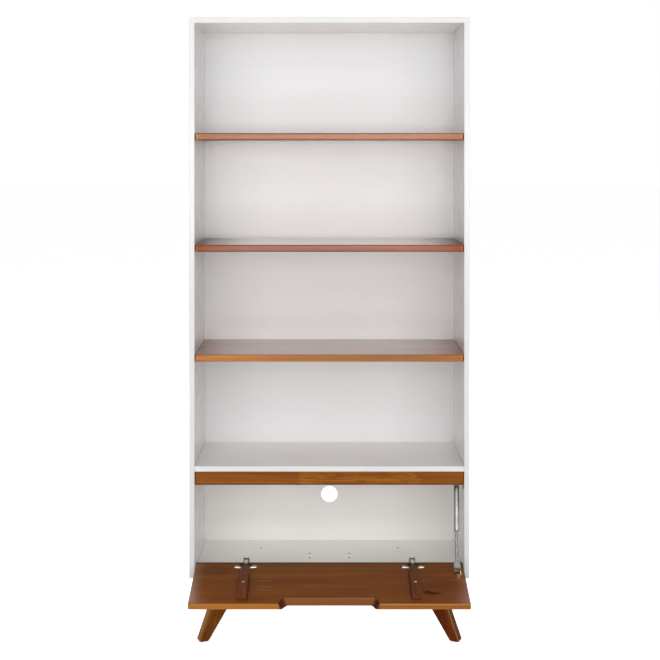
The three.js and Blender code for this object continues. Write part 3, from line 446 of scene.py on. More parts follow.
def door_marks(paint, color):
    """The door's patches, dark spots, streaks and dark notch, with painted light towards the free edge, on
    its pale ends and bright free edge, and painted shade at its ends, hinge edge, battens, corner and notch
    cheeks.
    """
    low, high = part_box("flap_door")
    # The door is painted lighter towards its free edge, away from the case's shade: painted light
    near = paint.span(paint.axis(1), high.y, low.y)
    color = paint.mix(near, color, paint.tinted_by(color, NEAR_PAINTED_LIGHT))
    patches = paint.noise(paint.mapping(PATCH_SCALES, move=PATCH_PLACE), *PATCH_SHAPE)
    color = paint.mix(paint.span(patches, *RED_NOISE, 0.0, RED_SHARE), color, RED_PATCH)
    color = paint.mix(paint.span(patches, *OLIVE_NOISE, 0.0, OLIVE_SHARE), color, OLIVE_PATCH)
    # The ends of the door's face are painted pale, more at the left: a painted reflection
    pale = paint.span(paint.off_middle(), high.x - PALE_FROM, high.x - PALE_FULL)
    paleness = paint.span(paint.axis(0), -high.x, high.x, *PALE_REFLECTION_SHARES)
    upper = paint.facing(tuple(OUT_OF_DOOR))
    color = paint.mix(paint.product(pale, upper, paleness), color, PALE_REFLECTION_TONE)
    # A dark line along each end of the door's face: painted shade
    end_line = paint.band(0, high.x - END_LINE, high.x + PAST_END, END_SOFT, mirrored=True)
    color = paint.mix(paint.product(end_line, upper, DOOR_SHADE_SHARE), color, END_SHADE_TONE)
    for pixel in DULL_PIXELS:
        color = blot(paint, color, seen_on_door(pixel), DULL_SIZE, DULL_TONE, DULL_SHARE)
    # Dark spots beside the right batten's end
    for pixel, size in DARK_SPOT_PIXELS.items():
        color = blot(paint, color, seen_on_door(pixel), size, DARK_SPOT_TONE, DARK_SPOT_SHARE)
    for pixel in STREAK_PIXELS:
        color = blot(paint, color, seen_on_door(pixel), STREAK_SIZE, STREAK_TONE, STREAK_SHARE)
    # A painted shadow on the door by the strut's lower bracket
    color = blot(paint, color, seen_on_door(CORNER_PIXEL), CORNER_SIZE, CORNER_SHADOW_TONE, CORNER_SHADOW_SHARE)

    # Painted shade along the hinge edge
    hinge_edge = min(vert.co.dot(TO_FREE_EDGE) for vert in cad["flap_door"].data.vertices)
    outward = paint.along(tuple(TO_FREE_EDGE))
    hinge_shade = paint.span(outward, hinge_edge + HINGE_SHADE_FROM, hinge_edge + HINGE_SHADE_FULL)
    color = paint.mix(paint.product(hinge_shade, upper, DOOR_SHADE_SHARE), color, HINGE_SHADE_TONE)
    # A painted shadow along the inner side of each batten
    batten_low, batten_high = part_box("door_batten_right")
    line = paint.band(0, batten_low.x - BATTEN_LINE, batten_low.x, BATTEN_SOFT, mirrored=True)
    reach = paint.band(1, batten_low.y, batten_high.y - BATTEN_STOP, STOP_SOFT)
    color = paint.mix(paint.product(line, reach, upper, DOOR_SHADE_SHARE), color, BATTEN_SHADOW_TONE)

    # The free edge is painted lighter, more at the left: painted light
    free = paint.facing(tuple(TO_FREE_EDGE), start=0.55, full=0.85)
    notch = paint.band(0, -NOTCH_HALF_WIDTH, NOTCH_HALF_WIDTH, NOTCH_SOFT)
    lift = paint.span(paint.axis(0), *LEFT_TO_RIGHT, *FREE_EDGE_LIGHT_SHARES)
    color = paint.mix(free, color, paint.mix(lift, color, FREE_EDGE_LIGHT_TONE))
    # A painted highlight along the free edge's upper arris, more at the right
    height = paint.along(tuple(OUT_OF_DOOR))
    arris = paint.span(height, DOOR_TOP - ARRIS_FROM, DOOR_TOP - ARRIS_FULL)
    arris_highlight = paint.product(arris, paint.span(paint.axis(0), *LEFT_TO_RIGHT, *ARRIS_HIGHLIGHT_SHARES))
    color = paint.mix(paint.product(free, arris_highlight), color, ARRIS_HIGHLIGHT_TONE)
    notch_tone = paint.mix(NOTCH_SHARE, color, NOTCH_TONE)
    color = paint.mix(paint.product(free, notch), color, notch_tone)
    # The notch's steep cheeks are painted dark: painted shade
    cheek = paint.band(0, CHEEK_FROM, NOTCH_HALF_WIDTH + CHEEK_SOFT, CHEEK_SOFT, mirrored=True)
    inner = paint.span(paint.math("ABSOLUTE", paint.normal_axis(0)), *CHEEK_TURN)
    return paint.mix(paint.product(cheek, inner), color, CHEEK_SHADE_TONE)


OLIVE_END, RED_START, BATTEN_OLIVE = 0.03, 0.06, (0.125, 0.056, 0.017)
CUT_TONE, BATTEN_SHARE = (0.10, 0.036, 0.008), 0.8


def batten_marks(paint, color):
    """A batten is olive near the hinge and redder towards the free edge, and its cut end is darker."""
    low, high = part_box("door_batten_right")
    share = paint.span(paint.axis(1), high.y - OLIVE_END, low.y + RED_START)
    olive = paint.mix(BATTEN_SHARE, color, BATTEN_OLIVE)
    cut = paint.facing(tuple(TO_FREE_EDGE), start=0.6, full=0.95)
    return paint.mix(paint.product(cut, BATTEN_SHARE), paint.mix(share, olive, color), CUT_TONE)


# Legs: where the narrow outer side looks, the painted highlight line beside it, and the left and right ones'
# outer tone, painted light on the left and painted shade on the right, and their highlight share
LEG_OUTER_NORMAL, LEG_LINE, LEG_HIGHLIGHT_TONE = (0.87, -0.34, 0.35), 0.0035, (0.50, 0.22, 0.07)
LEG_LINE_START, LEG_LINE_FULL = 1.3 * LEG_LINE, 0.7 * LEG_LINE
LEG_OUTER_TONES = {-1: (0.36, 0.17, 0.045), 1: (0.075, 0.032, 0.012)}
LEG_HIGHLIGHT_SHARES, LEG_OUTER_SHARE = {-1: 0.2, 1: 0.7}, 0.8


def leg_marks(name, side):
    """Marks of a leg: its narrow outer side is painted lighter on the left legs and darker on the right ones,
    as painted light and shade, and the arris beside it takes a painted highlight.
    """
    outward = Vector(LEG_OUTER_NORMAL) * Vector((side, 1 if "front" in name else -1, 1))
    outward.normalize()
    reach = max(vert.co.dot(outward) for vert in cad[name].data.vertices)

    def marks(paint, color):
        line = paint.span(paint.along(tuple(outward)), reach - LEG_LINE_START, reach - LEG_LINE_FULL)
        color = paint.mix(paint.product(line, LEG_HIGHLIGHT_SHARES[side]), color, LEG_HIGHLIGHT_TONE)
        outer = paint.facing(tuple(outward), start=0.9, full=0.98)
        return paint.mix(paint.product(outer, LEG_OUTER_SHARE), color, LEG_OUTER_TONES[side])
    return marks


# Metal: its brush marks and spots, the shade of its spots, the painted highlight on its arrises, and the
# border of its painted highlight tone
BRUSH_SHAPE, SPOT_SCALE, SPOT_NOISE = (180, 4.0, 0.65), 60, (0.35, 0.7)
SPOT_SHADE, METAL_LIT, METAL_LIT_SHARE, HIGHLIGHT_SOFT = 0.72, 1.25, 0.4, 0.0004
SMOOTHEST, METAL_SMOOTHER, METAL_ROUGHER = 0.04, 0.05, 0.06
BRUSH_HEIGHT, BRUSH_STRENGTH = 0.00001, 0.3


def metal(name, color, gloss, streaks=(1, 1, 1), painted_highlight=None, flat=None, half=None, metallic=1.0):
    """Metal; a painted highlight tone goes on what leans away from flat, and past a reach along half."""
    paint = Paint(name)
    marks = paint.noise(paint.mapping(streaks), *BRUSH_SHAPE)
    spots = paint.noise(paint.mapping(), SPOT_SCALE)
    smooth, edge = paint.edges(METAL_ARRIS)
    tone = paint.mix(paint.span(spots, *SPOT_NOISE), color, shaded(color, SPOT_SHADE))
    tone = paint.mix(paint.product(edge, METAL_LIT_SHARE), tone, shaded(color, METAL_LIT))
    if flat:
        tone = paint.mix(paint.facing(flat, start=0.93, full=0.8), tone, painted_highlight)
    if half:
        direction, reach = half
        tone = paint.mix(paint.span(paint.along(direction), reach - HIGHLIGHT_SOFT, reach + HIGHLIGHT_SOFT), tone, painted_highlight)
    smoothest = max(SMOOTHEST, gloss - METAL_SMOOTHER)
    roughness = paint.span(marks, *SOFT_NOISE, smoothest, gloss + METAL_ROUGHER)
    normal = paint.bump(marks, BRUSH_HEIGHT, BRUSH_STRENGTH, smooth)
    return paint.finish(tone, roughness, normal, metallic=metallic)


# Plastic: its grain and clouds, their shades, the painted highlight on its arrises, and its gloss
GRAIN_SCALE, HAZE_SCALE, HAZE_SHADE, PLASTIC_LIT, PLASTIC_LIT_SHARE = 1500, 120, 0.85, 1.4, 0.3
PLASTIC_ROUGHNESS, PLASTIC_HEIGHT, PLASTIC_STRENGTH = (0.45, 0.58), 0.00003, 0.5


def plastic(name, color):
    """Moulded plastic with a fine grain."""
    paint = Paint(name)
    grain = paint.noise(paint.mapping(), GRAIN_SCALE, 2.0)
    haze = paint.noise(paint.mapping(), HAZE_SCALE, 2.0)
    smooth, edge = paint.edges(PLASTIC_ARRIS)
    tone = paint.mix(paint.span(haze, *SOFT_NOISE), color, shaded(color, HAZE_SHADE))
    tone = paint.mix(paint.product(edge, PLASTIC_LIT_SHARE), tone, shaded(color, PLASTIC_LIT))
    roughness = paint.span(grain, *SOFT_NOISE, *PLASTIC_ROUGHNESS)
    return paint.finish(tone, roughness, paint.bump(grain, PLASTIC_HEIGHT, PLASTIC_STRENGTH, smooth))


def dress(material, *names):
    """Gives CAD nodes a material."""
    for name in names:
        piece = cad[name]
        piece.data.materials.clear()
        piece.data.materials.append(material)


camera_data = bpy.data.cameras.new("camera")
camera_data.sensor_width = SENSOR
camera_data.lens = LENS
camera_data.shift_x, camera_data.shift_y = CAMERA_SHIFT
camera_data.clip_end = CAMERA_REACH
camera = bpy.data.objects.new("camera", camera_data)
camera.location = CAMERA_PLACE
camera.rotation_euler = (math.pi / 2, 0, 0)
bpy.context.collection.objects.link(camera)
bpy.context.scene.camera = camera
bpy.context.scene.view_settings.view_transform = "Standard"


def seen_on_door(pixel):
    """The point of the open door's inner face that lies behind a pixel of the photograph."""
    focal = LENS / SENSOR * FRAME_WIDTH
    middle = FRAME_WIDTH / 2
    across = pixel[0] - middle + CAMERA_SHIFT[0] * FRAME_WIDTH
    down = pixel[1] - middle - CAMERA_SHIFT[1] * FRAME_WIDTH
    ray = Vector((across, focal, -down))
    start = DOOR @ Vector((0, DOOR_FACE, 0))
    return CAMERA_PLACE + ray * (start - CAMERA_PLACE).dot(OUT_OF_DOOR) / ray.dot(OUT_OF_DOOR)


# Shapes: each is drawn in a frame of its own, in metres, and then put in its place
def seat(origin, up, side):
    """A frame whose z is up and whose x leans to side."""
    z = Vector(up).normalized()
    x = (Vector(side) - Vector(side).dot(z) * z).normalized()
    return Matrix.Translation(origin) @ Matrix((x, z.cross(x), z)).transposed().to_4x4()


def ring(bm, radius, height, sides):
    """Vertices round the z axis; a radius of 0 gives the one vertex on it."""
    angles = [math.tau * i / sides for i in range(sides if radius > 0 else 1)]
    return [bm.verts.new((radius * math.cos(a), radius * math.sin(a), height)) for a in angles]


def join_rings(bm, rings):
    """Faces between rings of vertices; a ring of one vertex closes an end."""
    for low, high in zip(rings, rings[1:]):
        count = max(len(low), len(high))
        for i in range(count):
            j = (i + 1) % count
            corners = (low[i % len(low)], low[j % len(low)], high[j % len(high)], high[i % len(high)])
            distinct = list(dict.fromkeys(corners))
            if len(distinct) > 2:
                bm.faces.new(distinct)


def turned(bm, profile, sides=48):
    """A solid of revolution about z, from (radius, height) points."""
    join_rings(bm, [ring(bm, radius, height, sides) for radius, height in profile])


FINE_SIDES = 64


def slab(bm, outline, low, high, ease, steps=3):
    """An outline run from low to high along z, with eased edges."""
    bottom = [bm.verts.new((x, y, low)) for x, y in outline]
    top = [bm.verts.new((x, y, high)) for x, y in outline]
    faces = [bm.faces.new(top), bm.faces.new(list(reversed(bottom)))]
    for i in range(len(outline)):
        j = (i + 1) % len(outline)
        faces.append(bm.faces.new((bottom[i], bottom[j], top[j], top[i])))
    edges = list({edge for face in faces for edge in face.edges})
    bmesh.ops.bevel(
        bm, geom=edges, offset=ease, segments=steps, profile=0.5, affect="EDGES", clamp_overlap=True
    )


SHORT_SIDE_SHARE, CORNER_STEPS, SAME_PLACE, SHARP_ANGLE = 0.45, 4, 1e-7, 35


def rounded(points, radius):
    """An open row of points with its inner corners rounded."""
    result = [points[0]]
    for before, corner, after in zip(points, points[1:], points[2:]):
        before, corner, after = Vector(before), Vector(corner), Vector(after)
        sides = (before - corner).length * SHORT_SIDE_SHARE, (after - corner).length * SHORT_SIDE_SHARE
        reach = min(radius, *sides)
        start = corner + (before - corner).normalized() * reach
        end = corner + (after - corner).normalized() * reach
        for i in range(CORNER_STEPS + 1):
            t = i / CORNER_STEPS
            result.append(tuple(start * (1 - t) ** 2 + corner * 2 * t * (1 - t) + end * t ** 2))
    return result + [points[-1]]


def finished(name, bm, at, material, body, slot, *nodes):
    """Turns a bmesh into a piece in its place, standing for the CAD nodes that are named."""
    bm.transform(at)
    bmesh.ops.remove_doubles(bm, verts=bm.verts, dist=SAME_PLACE)
    bmesh.ops.recalc_face_normals(bm, faces=bm.faces)
    mesh = bpy.data.meshes.new(name)
    bm.to_mesh(mesh)
    bm.free()
    for face in mesh.polygons:
        face.use_smooth = True
    mesh.set_sharp_from_angle(angle=math.radians(SHARP_ANGLE))
    mesh.materials.append(material)
    piece = bpy.data.objects.new(name, mesh)
    bpy.context.collection.objects.link(piece)
    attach(piece, body)
    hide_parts(*nodes)


# White boards
WHITE = (0.86, 0.857, 0.853)
dress(white_board("white_sides", WHITE, 0.0, front_edge_shade=0.93), "side_panel_left", "side_panel_right")
# The top panel and fixed shelf take a lighter white and the bottom panel a warmer one: painted light on their
# inner faces
PAINTED_LIGHT_WHITE, PAINTED_WARM_WHITE = (0.955, 0.945, 0.925), (0.965, 0.94, 0.895)
dress(white_board("white_top", PAINTED_LIGHT_WHITE, 3.1, gloss=0.08, front_edge_shade=0.84), "top_panel")
dress(white_board("white_shelf", PAINTED_LIGHT_WHITE, 4.2, gloss=0.08, front_edge_shade=0.905), "fixed_shelf")
dress(white_board("white_bottom", PAINTED_WARM_WHITE, 4.2, gloss=0.08, front_edge_shade=0.905), "bottom_panel")
# The back panel's front is painted warmer below the fixed shelf, as painted warm light; the border between
# its two tones is covered by the fixed shelf that meets it
shelf_middle = sum(corner.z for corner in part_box("fixed_shelf")) / 2
# The back panel's white is cooler, to offset the warm light bounced off the shelves: painted cool light
BACK_WHITE = (0.848, 0.853, 0.862)
dress(white_board("white_back", BACK_WHITE, 5.3, painted_warm_light_below=shelf_middle), "back_panel")

# Brown wood
BROWN = (0.15, 0.038, 0.003), (0.30, 0.090, 0.009), (0.45, 0.165, 0.030)
# Each shelf's stain, its front edge's and its ends' shares of it, which are painted light and shade, its
# lacquer, and its ends' share of that
SHELF_TONES = {
    "shelf_upper": ((0.95, 0.85, 1.1), (1.45, 1.55, 2.8), 1.0, 0.6, 0.5),
    "shelf_middle": ((1.3, 1.4, 2.0), (0.86, 0.52, 0.56), 0.30, 1.0, 0.0),
    "shelf_lower": ((1.1, 1.1, 0.84), (1.48, 1.7, 2.5), 1.0, 0.82, 0.5),
}
for index, (name, (factor, front, ends, lacquer, thin)) in enumerate(SHELF_TONES.items()):
    shelf_wood = wood(
        f"wood_{name}", toned(BROWN, factor), seed=1.7 * index + 0.4, figure=0.8, relief=0.2,
        coat=lacquer, thin=thin, marks=shelf_marks(front, ends),
    )
    dress(shelf_wood, name)
RAIL_STAIN = (1.0, 0.98, 0.78)
dress(wood("wood_front_rail", toned(BROWN, RAIL_STAIN), seed=5.5, marks=rail_marks), "front_rail")
DOOR_TONES = (0.129, 0.034, 0.0034), (0.263, 0.078, 0.0094), (0.425, 0.154, 0.027)
dress(wood("wood_flap_door", DOOR_TONES, seed=9.2, figure=0.7, marks=door_marks), "flap_door")
BATTEN_TONES = (0.135, 0.032, 0.010), (0.23, 0.054, 0.017), (0.34, 0.094, 0.030)
for side, seed in (("left", 4.0), ("right", 6.5)):
    red = wood(f"wood_batten_{side}", BATTEN_TONES, (0, 0, math.radians(90)), seed, marks=batten_marks)
    dress(red, f"door_batten_{side}")
BEAM_TURN = (0, 0, 0.2)
dress(wood("wood_beams", BROWN, BEAM_TURN, 12.0), "base_beam_one", "base_beam_two")
LEG_TONES = (0.085, 0.022, 0.004), (0.165, 0.047, 0.009), (0.28, 0.095, 0.022)
# The left legs are painted lighter and the right ones darker: painted light and shade
LEG_LIGHT_AND_SHADE = {-1: (1.25, 1.38, 1.1), 1: (0.93, 0.68, 0.6)}
LEG_LEAN = math.radians(67)
for index, corner in enumerate(("front_left", "front_right", "rear_left", "rear_right")):
    side = -1 if corner.endswith("left") else 1
    leg_wood = wood(
        f"wood_leg_{corner}", toned(LEG_TONES, LEG_LIGHT_AND_SHADE[side]), (0, -side * LEG_LEAN, 0),
        20.0 + 2.3 * index, gloss=0.5, specular=0.04, marks=leg_marks(f"leg_{corner}", side),
    )
    dress(leg_wood, f"leg_{corner}")

# Metal and plastic
FLANGE_SHADE_NICKEL, FLANGE_HIGHLIGHT_NICKEL = (0.09, 0.05, 0.02), (1.0, 0.92, 0.79)
SHADED_OLIVE_NICKEL, LINK_HIGHLIGHT, LINK_LIT = (0.24, 0.155, 0.075), (0.95, 0.9, 0.82), 0.0065
EAR_NICKEL, EAR_HIGHLIGHT = (0.36, 0.28, 0.14), (0.96, 0.82, 0.76)
ALONG_STRUT = (1, 1, 0.1)
cup_middle = sum(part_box("hinge_cup_screw_left_inner"), Vector()) / 2
cup_line = (tuple(TO_FREE_EDGE), cup_middle.dot(TO_FREE_EDGE))
# The cup's flange is painted dark towards the hinge, as painted shade, and bright past the cup's middle, as a
# painted highlight
flange_nickel = metal("flange_nickel", FLANGE_SHADE_NICKEL, 0.12, painted_highlight=FLANGE_HIGHLIGHT_NICKEL, half=cup_line)
# The hinge link is darkened olive nickel, painted shade, with a painted highlight on its top
link_line = ((0, 0, 1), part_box("hinge_link_left")[1].z - LINK_LIT)
link_nickel = metal("link_nickel", SHADED_OLIVE_NICKEL, 0.30, painted_highlight=LINK_HIGHLIGHT, half=link_line)
# Near-black nickel on the arms' cheeks and lips and the hinge plates: painted shade
shade_nickel = metal("shade_nickel", (0.07, 0.065, 0.055), 0.14)
# A darkened olive nickel for the cup's pot and the hinge link: painted shade
shaded_olive_nickel = metal("shaded_olive_nickel", SHADED_OLIVE_NICKEL, 0.30)
bright_nickel = metal("bright_nickel", (0.95, 0.92, 0.87), 0.38, metallic=0.3)
bracket_nickel = metal("bracket_nickel", (0.26, 0.25, 0.22), 0.14)
# The lower bracket's ear takes a painted glint on its faces that lean away from the door's face
ear_nickel = metal("ear_nickel", EAR_NICKEL, 0.16, painted_highlight=EAR_HIGHLIGHT, flat=tuple(OUT_OF_DOOR))
zinc = metal("zinc", (0.70, 0.69, 0.67), 0.22)
bright_zinc = metal("bright_zinc", (1.0, 0.84, 0.76), 0.45)
black_steel = metal("black_steel", (0.05, 0.048, 0.046), 0.4)
strut_paint = metal("strut_paint", (0.34, 0.332, 0.32), 0.24, ALONG_STRUT)
rod_steel = metal("rod_steel", (0.19, 0.185, 0.178), 0.24, ALONG_STRUT)
grey_plastic = plastic("grey_plastic", (0.30, 0.30, 0.30))
glide_plastic = plastic("glide_plastic", (0.12, 0.115, 0.11))

# Screws: one countersunk head with a cross recess, at every CAD screw
HEAD_RADIUS, HEAD_DEPTH, SHANK_RADIUS = 0.004, 0.0024, 0.0018
CROSS_REACH, CROSS_WIDTH, CROSS_DEPTH, CROSS_TAPER = 0.0021, 0.00085, 0.0011, 0.7
CROWN_SHARE, HEAD_RIM, TIP_RADIUS, TIP_LENGTH, SCREW_SIDES = 0.93, 0.0003, 0.0003, 0.003, 24
HEAD_SPREAD, CROSS_LEAN = 0.0001, (1, 0.3, 0.2)
SCREW_FRAMES = {
    "base_screw": ("cabinet", Vector((0, 0, 1)), black_steel, "dark_screws"),
    "hinge_plate_screw": ("cabinet", Vector((0, 0, 1)), zinc, "zinc_screws"),
    "strut_upper_screw": ("cabinet", Vector((-1, 0, 0)), zinc, "zinc_screws"),
    "batten_screw": ("door", OUT_OF_DOOR, bright_zinc, "zinc_screws"),
    "hinge_cup_screw": ("door", OUT_OF_DOOR, zinc, "zinc_screws"),
    "strut_lower_screw": ("door", OUT_OF_DOOR, zinc, "zinc_screws"),
}


def in_cross(point):
    """Whether a point of the head's face lies in the cross."""
    near, far = sorted((abs(point.x), abs(point.y)))
    return near < CROSS_WIDTH / 2 and far < CROSS_REACH


def draw_screw(bm, length):
    """A countersunk screw along -z, with its head's face at z = 0 and a cross sunk into it."""
    arm, half = CROSS_REACH, CROSS_WIDTH / 2
    quarter = [(arm, -half), (arm, half), (half, half)]
    cross = []
    for turn in range(4):
        spin = Matrix.Rotation(math.pi / 2 * turn, 2)
        cross += [spin @ Vector(point) for point in quarter]
    step = math.tau / SCREW_SIDES
    circle = [Vector((math.cos(step * i), math.sin(step * i))) for i in range(SCREW_SIDES)]
    crown = [bm.verts.new((*(HEAD_RADIUS * CROWN_SHARE * point), 0)) for point in circle]
    mouth = [bm.verts.new((*point, 0)) for point in cross]
    floor = [bm.verts.new((*(point * CROSS_TAPER), -CROSS_DEPTH)) for point in cross]
    for border in (crown, mouth):
        for i in range(len(border)):
            bm.edges.new((border[i], border[(i + 1) % len(border)]))
    bmesh.ops.triangle_fill(bm, use_beauty=True, edges=bm.edges[:], normal=(0, 0, 1))
    inner = [face for face in bm.faces if in_cross(face.calc_center_median())]
    bmesh.ops.delete(bm, geom=inner, context="FACES_ONLY")
    join_rings(bm, [mouth, floor])
    bm.faces.new(floor)
    rings = [crown]
    for radius, height in (
        (HEAD_RADIUS, -HEAD_RIM), (SHANK_RADIUS, -HEAD_DEPTH), (SHANK_RADIUS, TIP_LENGTH - length),
        (TIP_RADIUS, -length),
    ):
        rings.append([bm.verts.new((*(radius * point), height)) for point in circle])
    rings.append([bm.verts.new((0, 0, -length))])
    join_rings(bm, rings)


for name in sorted(cad):
    kind = next((kind for kind in SCREW_FRAMES if name.startswith(kind)), None)
    if kind is None:
        continue
    body, outward, material, slot = SCREW_FRAMES[kind]
    points = [vert.co for vert in cad[name].data.vertices]
    reach = [point.dot(outward) for point in points]
    head = [point for point, value in zip(points, reach) if value > max(reach) - HEAD_SPREAD]
    middle = sum(head, Vector()) / len(head)
    screw_mesh = bmesh.new()
    draw_screw(screw_mesh, max(reach) - min(reach))
    finished(f"{name}_cross", screw_mesh, seat(middle, outward, CROSS_LEAN), material, body, slot, name)

# Hinge cups: a pot in the door under a flange with two domed wings
WING_HALF_LENGTH, WING_HALF_HEIGHT, WING_CORNER, RING_RADIUS = 0.032, 0.0102, 0.003, 0.0186
POT_RADIUS, POT_INNER_RADIUS, POT_DEPTH, POT_FLOOR, POT_ROUND = 0.0175, 0.0165, 0.0118, 0.001, 0.0012
FLANGE_SIDES, FLANGE_CROWN, FLANGE_FOOT, FLANGE_LIP = 160, 0.0014, 0.0001, 0.0003
# The flange's section inside its hole, as radii and heights, and its crown outside it, as insets and shares
HOLE_ROWS = (
    (POT_INNER_RADIUS, FLANGE_FOOT), (POT_INNER_RADIUS, 0.0013), (POT_INNER_RADIUS + FLANGE_LIP, 0.0016),
)
CROWN_ROWS = (
    (0.0021, 0.9), (0.0017, 1.0), (0.0010, 0.93), (0.0005, 0.75), (0.0001, 0.4),
    (0.0, FLANGE_FOOT / FLANGE_CROWN),
)


def flange_reach(angle, inset):
    """How far the flange's outline, drawn in by an inset, reaches at an angle."""
    along, across = abs(math.cos(angle)), abs(math.sin(angle))
    corner_x, corner_y = WING_HALF_LENGTH - WING_CORNER, WING_HALF_HEIGHT - WING_CORNER
    end = (WING_HALF_LENGTH - inset) / along
    side = (WING_HALF_HEIGHT - inset) / across
    toward = along * corner_x + across * corner_y
    beyond = toward ** 2 - corner_x ** 2 - corner_y ** 2 + (WING_CORNER - inset) ** 2
    if end * across <= corner_y:
        wing = end
    elif side * along <= corner_x:
        wing = side
    else:
        wing = toward + math.sqrt(max(0.0, beyond))
    return max(wing, RING_RADIUS - inset)


def draw_flange(bm):
    """The flange as a closed tube of rows, up through its hole and out over its crown."""
    angles = [math.tau * (i + 0.5) / FLANGE_SIDES for i in range(FLANGE_SIDES)]
    least = POT_INNER_RADIUS + FLANGE_LIP + FLANGE_FOOT
    rows = [([radius] * FLANGE_SIDES, height) for radius, height in HOLE_ROWS]
    for inset, share in CROWN_ROWS:
        rows.append(([max(least, flange_reach(angle, inset)) for angle in angles], share * FLANGE_CROWN))
    rows.append(rows[0])
    rings = []
    for reaches, height in rows:
        points = [(reach * math.cos(a), reach * math.sin(a), height) for reach, a in zip(reaches, angles)]
        rings.append([bm.verts.new(point) for point in points])
    join_rings(bm, rings)


def add_cup(side, x):
    """One hinge cup: its flange on the door and its pot in it."""
    centre = DOOR @ Vector((x, DOOR_FACE, cup_reach))
    at = seat(centre, OUT_OF_DOOR, (1, 0, 0))
    flange = bmesh.new()
    draw_flange(flange)
    node = f"hinge_cup_{side}"
    finished(f"{node}_flange", flange, at, flange_nickel, "door", "nickel_steel", node)
    pot = bmesh.new()
    floor = POT_FLOOR - POT_DEPTH
    section = [
        (0, -POT_DEPTH), (POT_RADIUS, -POT_DEPTH), (POT_RADIUS, 0), (POT_INNER_RADIUS, 0),
        (POT_INNER_RADIUS, floor), (0, floor),
    ]
    turned(pot, rounded(section, POT_ROUND), FINE_SIDES)
    finished(f"{node}_pot", pot, at, shaded_olive_nickel, "door", "nickel_steel", node)


# Hinge arms: two cheeks of near-black nickel, which is painted shade, with a bright bridge sunk between them
ARM_HALF_WIDTH, CHEEK, BRIDGE_DROP, ROOF_LENGTH = 0.0075, 0.0019, 0.0014, 0.012
CHEEK_EASE, ROOF_EASE, BRIDGE_EASE, BRIDGE_GRIP, LIP_THICKNESS = 0.0006, 0.0003, 0.0004, 0.0002, 0.0008
# The arm's side view: heights over its floor or under its top, depths behind its nose, its back or the front
TAIL_HEIGHT, LEDGE_HEIGHT, TAIL_SLOPE, LEDGE_DEPTH, CRANK_DEPTH = 0.012, 0.016, 0.004, 0.036, 0.026
NOSE_FLAT, NOSE_CHAMFER, NOSE_FACE, NOSE_TUCK = 0.0035, 0.001, 0.0035, 0.0015
UNDER_DROP, UNDER_DEPTH, KNEE_DROP, KNEE_DEPTH, HEEL_DEPTH = 0.0075, 0.006, 0.0065, 0.021, 0.030


def arm_outline(low, high, drop):
    """The arm's side view in depth and height, from the CAD arm's own box; drop sinks its upper side."""
    floor, top = low.z, high.z
    nose, back = low.y, high.y
    under = top - UNDER_DROP
    ledge = floor + LEDGE_HEIGHT
    return [
        (back - drop, floor), (back - drop, floor + TAIL_HEIGHT - drop), (back - TAIL_SLOPE, ledge - drop),
        (FRONT + LEDGE_DEPTH, ledge - drop), (FRONT + CRANK_DEPTH, top - drop),
        (nose + NOSE_FLAT, top - drop),
        (nose + NOSE_CHAMFER + drop, top - NOSE_CHAMFER - drop), (nose + drop, top - NOSE_FACE),
        (nose + NOSE_TUCK, under), (nose + UNDER_DEPTH, under), (FRONT + KNEE_DEPTH, under - KNEE_DROP),
        (FRONT + HEEL_DEPTH, floor),
    ]


def add_arm(side, x):
    """One hinge arm: its cheeks, the lip over its nose, and the bridge between the cheeks."""
    node = f"hinge_arm_{side}"
    low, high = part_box(node)
    at = Matrix.Translation((x, 0, 0)) @ Matrix(((0, 0, 1, 0), (1, 0, 0, 0), (0, 1, 0, 0), (0, 0, 0, 1)))
    cheeks = bmesh.new()
    for near, far in ((-ARM_HALF_WIDTH, CHEEK - ARM_HALF_WIDTH), (ARM_HALF_WIDTH - CHEEK, ARM_HALF_WIDTH)):
        slab(cheeks, arm_outline(low, high, 0), near, far, CHEEK_EASE)
    finished(f"{node}_cheeks", cheeks, at, shade_nickel, "cabinet", "nickel_steel", node)
    roof = bmesh.new()
    nose, top = low.y, high.z
    lip = [
        (nose + ROOF_LENGTH, top), (nose + NOSE_FLAT, top), (nose + NOSE_CHAMFER, top - NOSE_CHAMFER),
        (nose, top - BRIDGE_DROP - LIP_THICKNESS), (nose + ROOF_LENGTH, top - BRIDGE_DROP),
    ]
    slab(roof, lip, CHEEK - ARM_HALF_WIDTH, ARM_HALF_WIDTH - CHEEK, ROOF_EASE)
    finished(f"{node}_lip", roof, at, shade_nickel, "cabinet", "nickel_steel", node)
    bridge = bmesh.new()
    half = ARM_HALF_WIDTH - CHEEK + BRIDGE_GRIP
    slab(bridge, arm_outline(low, high, BRIDGE_DROP), -half, half, BRIDGE_EASE)
    finished(f"{node}_bridge", bridge, at, bright_nickel, "cabinet", "nickel_steel", node)


screw_low, screw_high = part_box("hinge_cup_screw_left_inner")
cup_reach = ((screw_low + screw_high) / 2 - PIVOT).dot(TO_FREE_EDGE)
for side, x in (("left", -HINGE_X), ("right", HINGE_X)):
    add_cup(side, x)
    add_arm(side, x)
    dress(shade_nickel, f"hinge_plate_{side}")
    dress(link_nickel, f"hinge_link_{side}")
dress(ear_nickel, "strut_lower_bracket")
dress(bracket_nickel, "strut_upper_bracket")

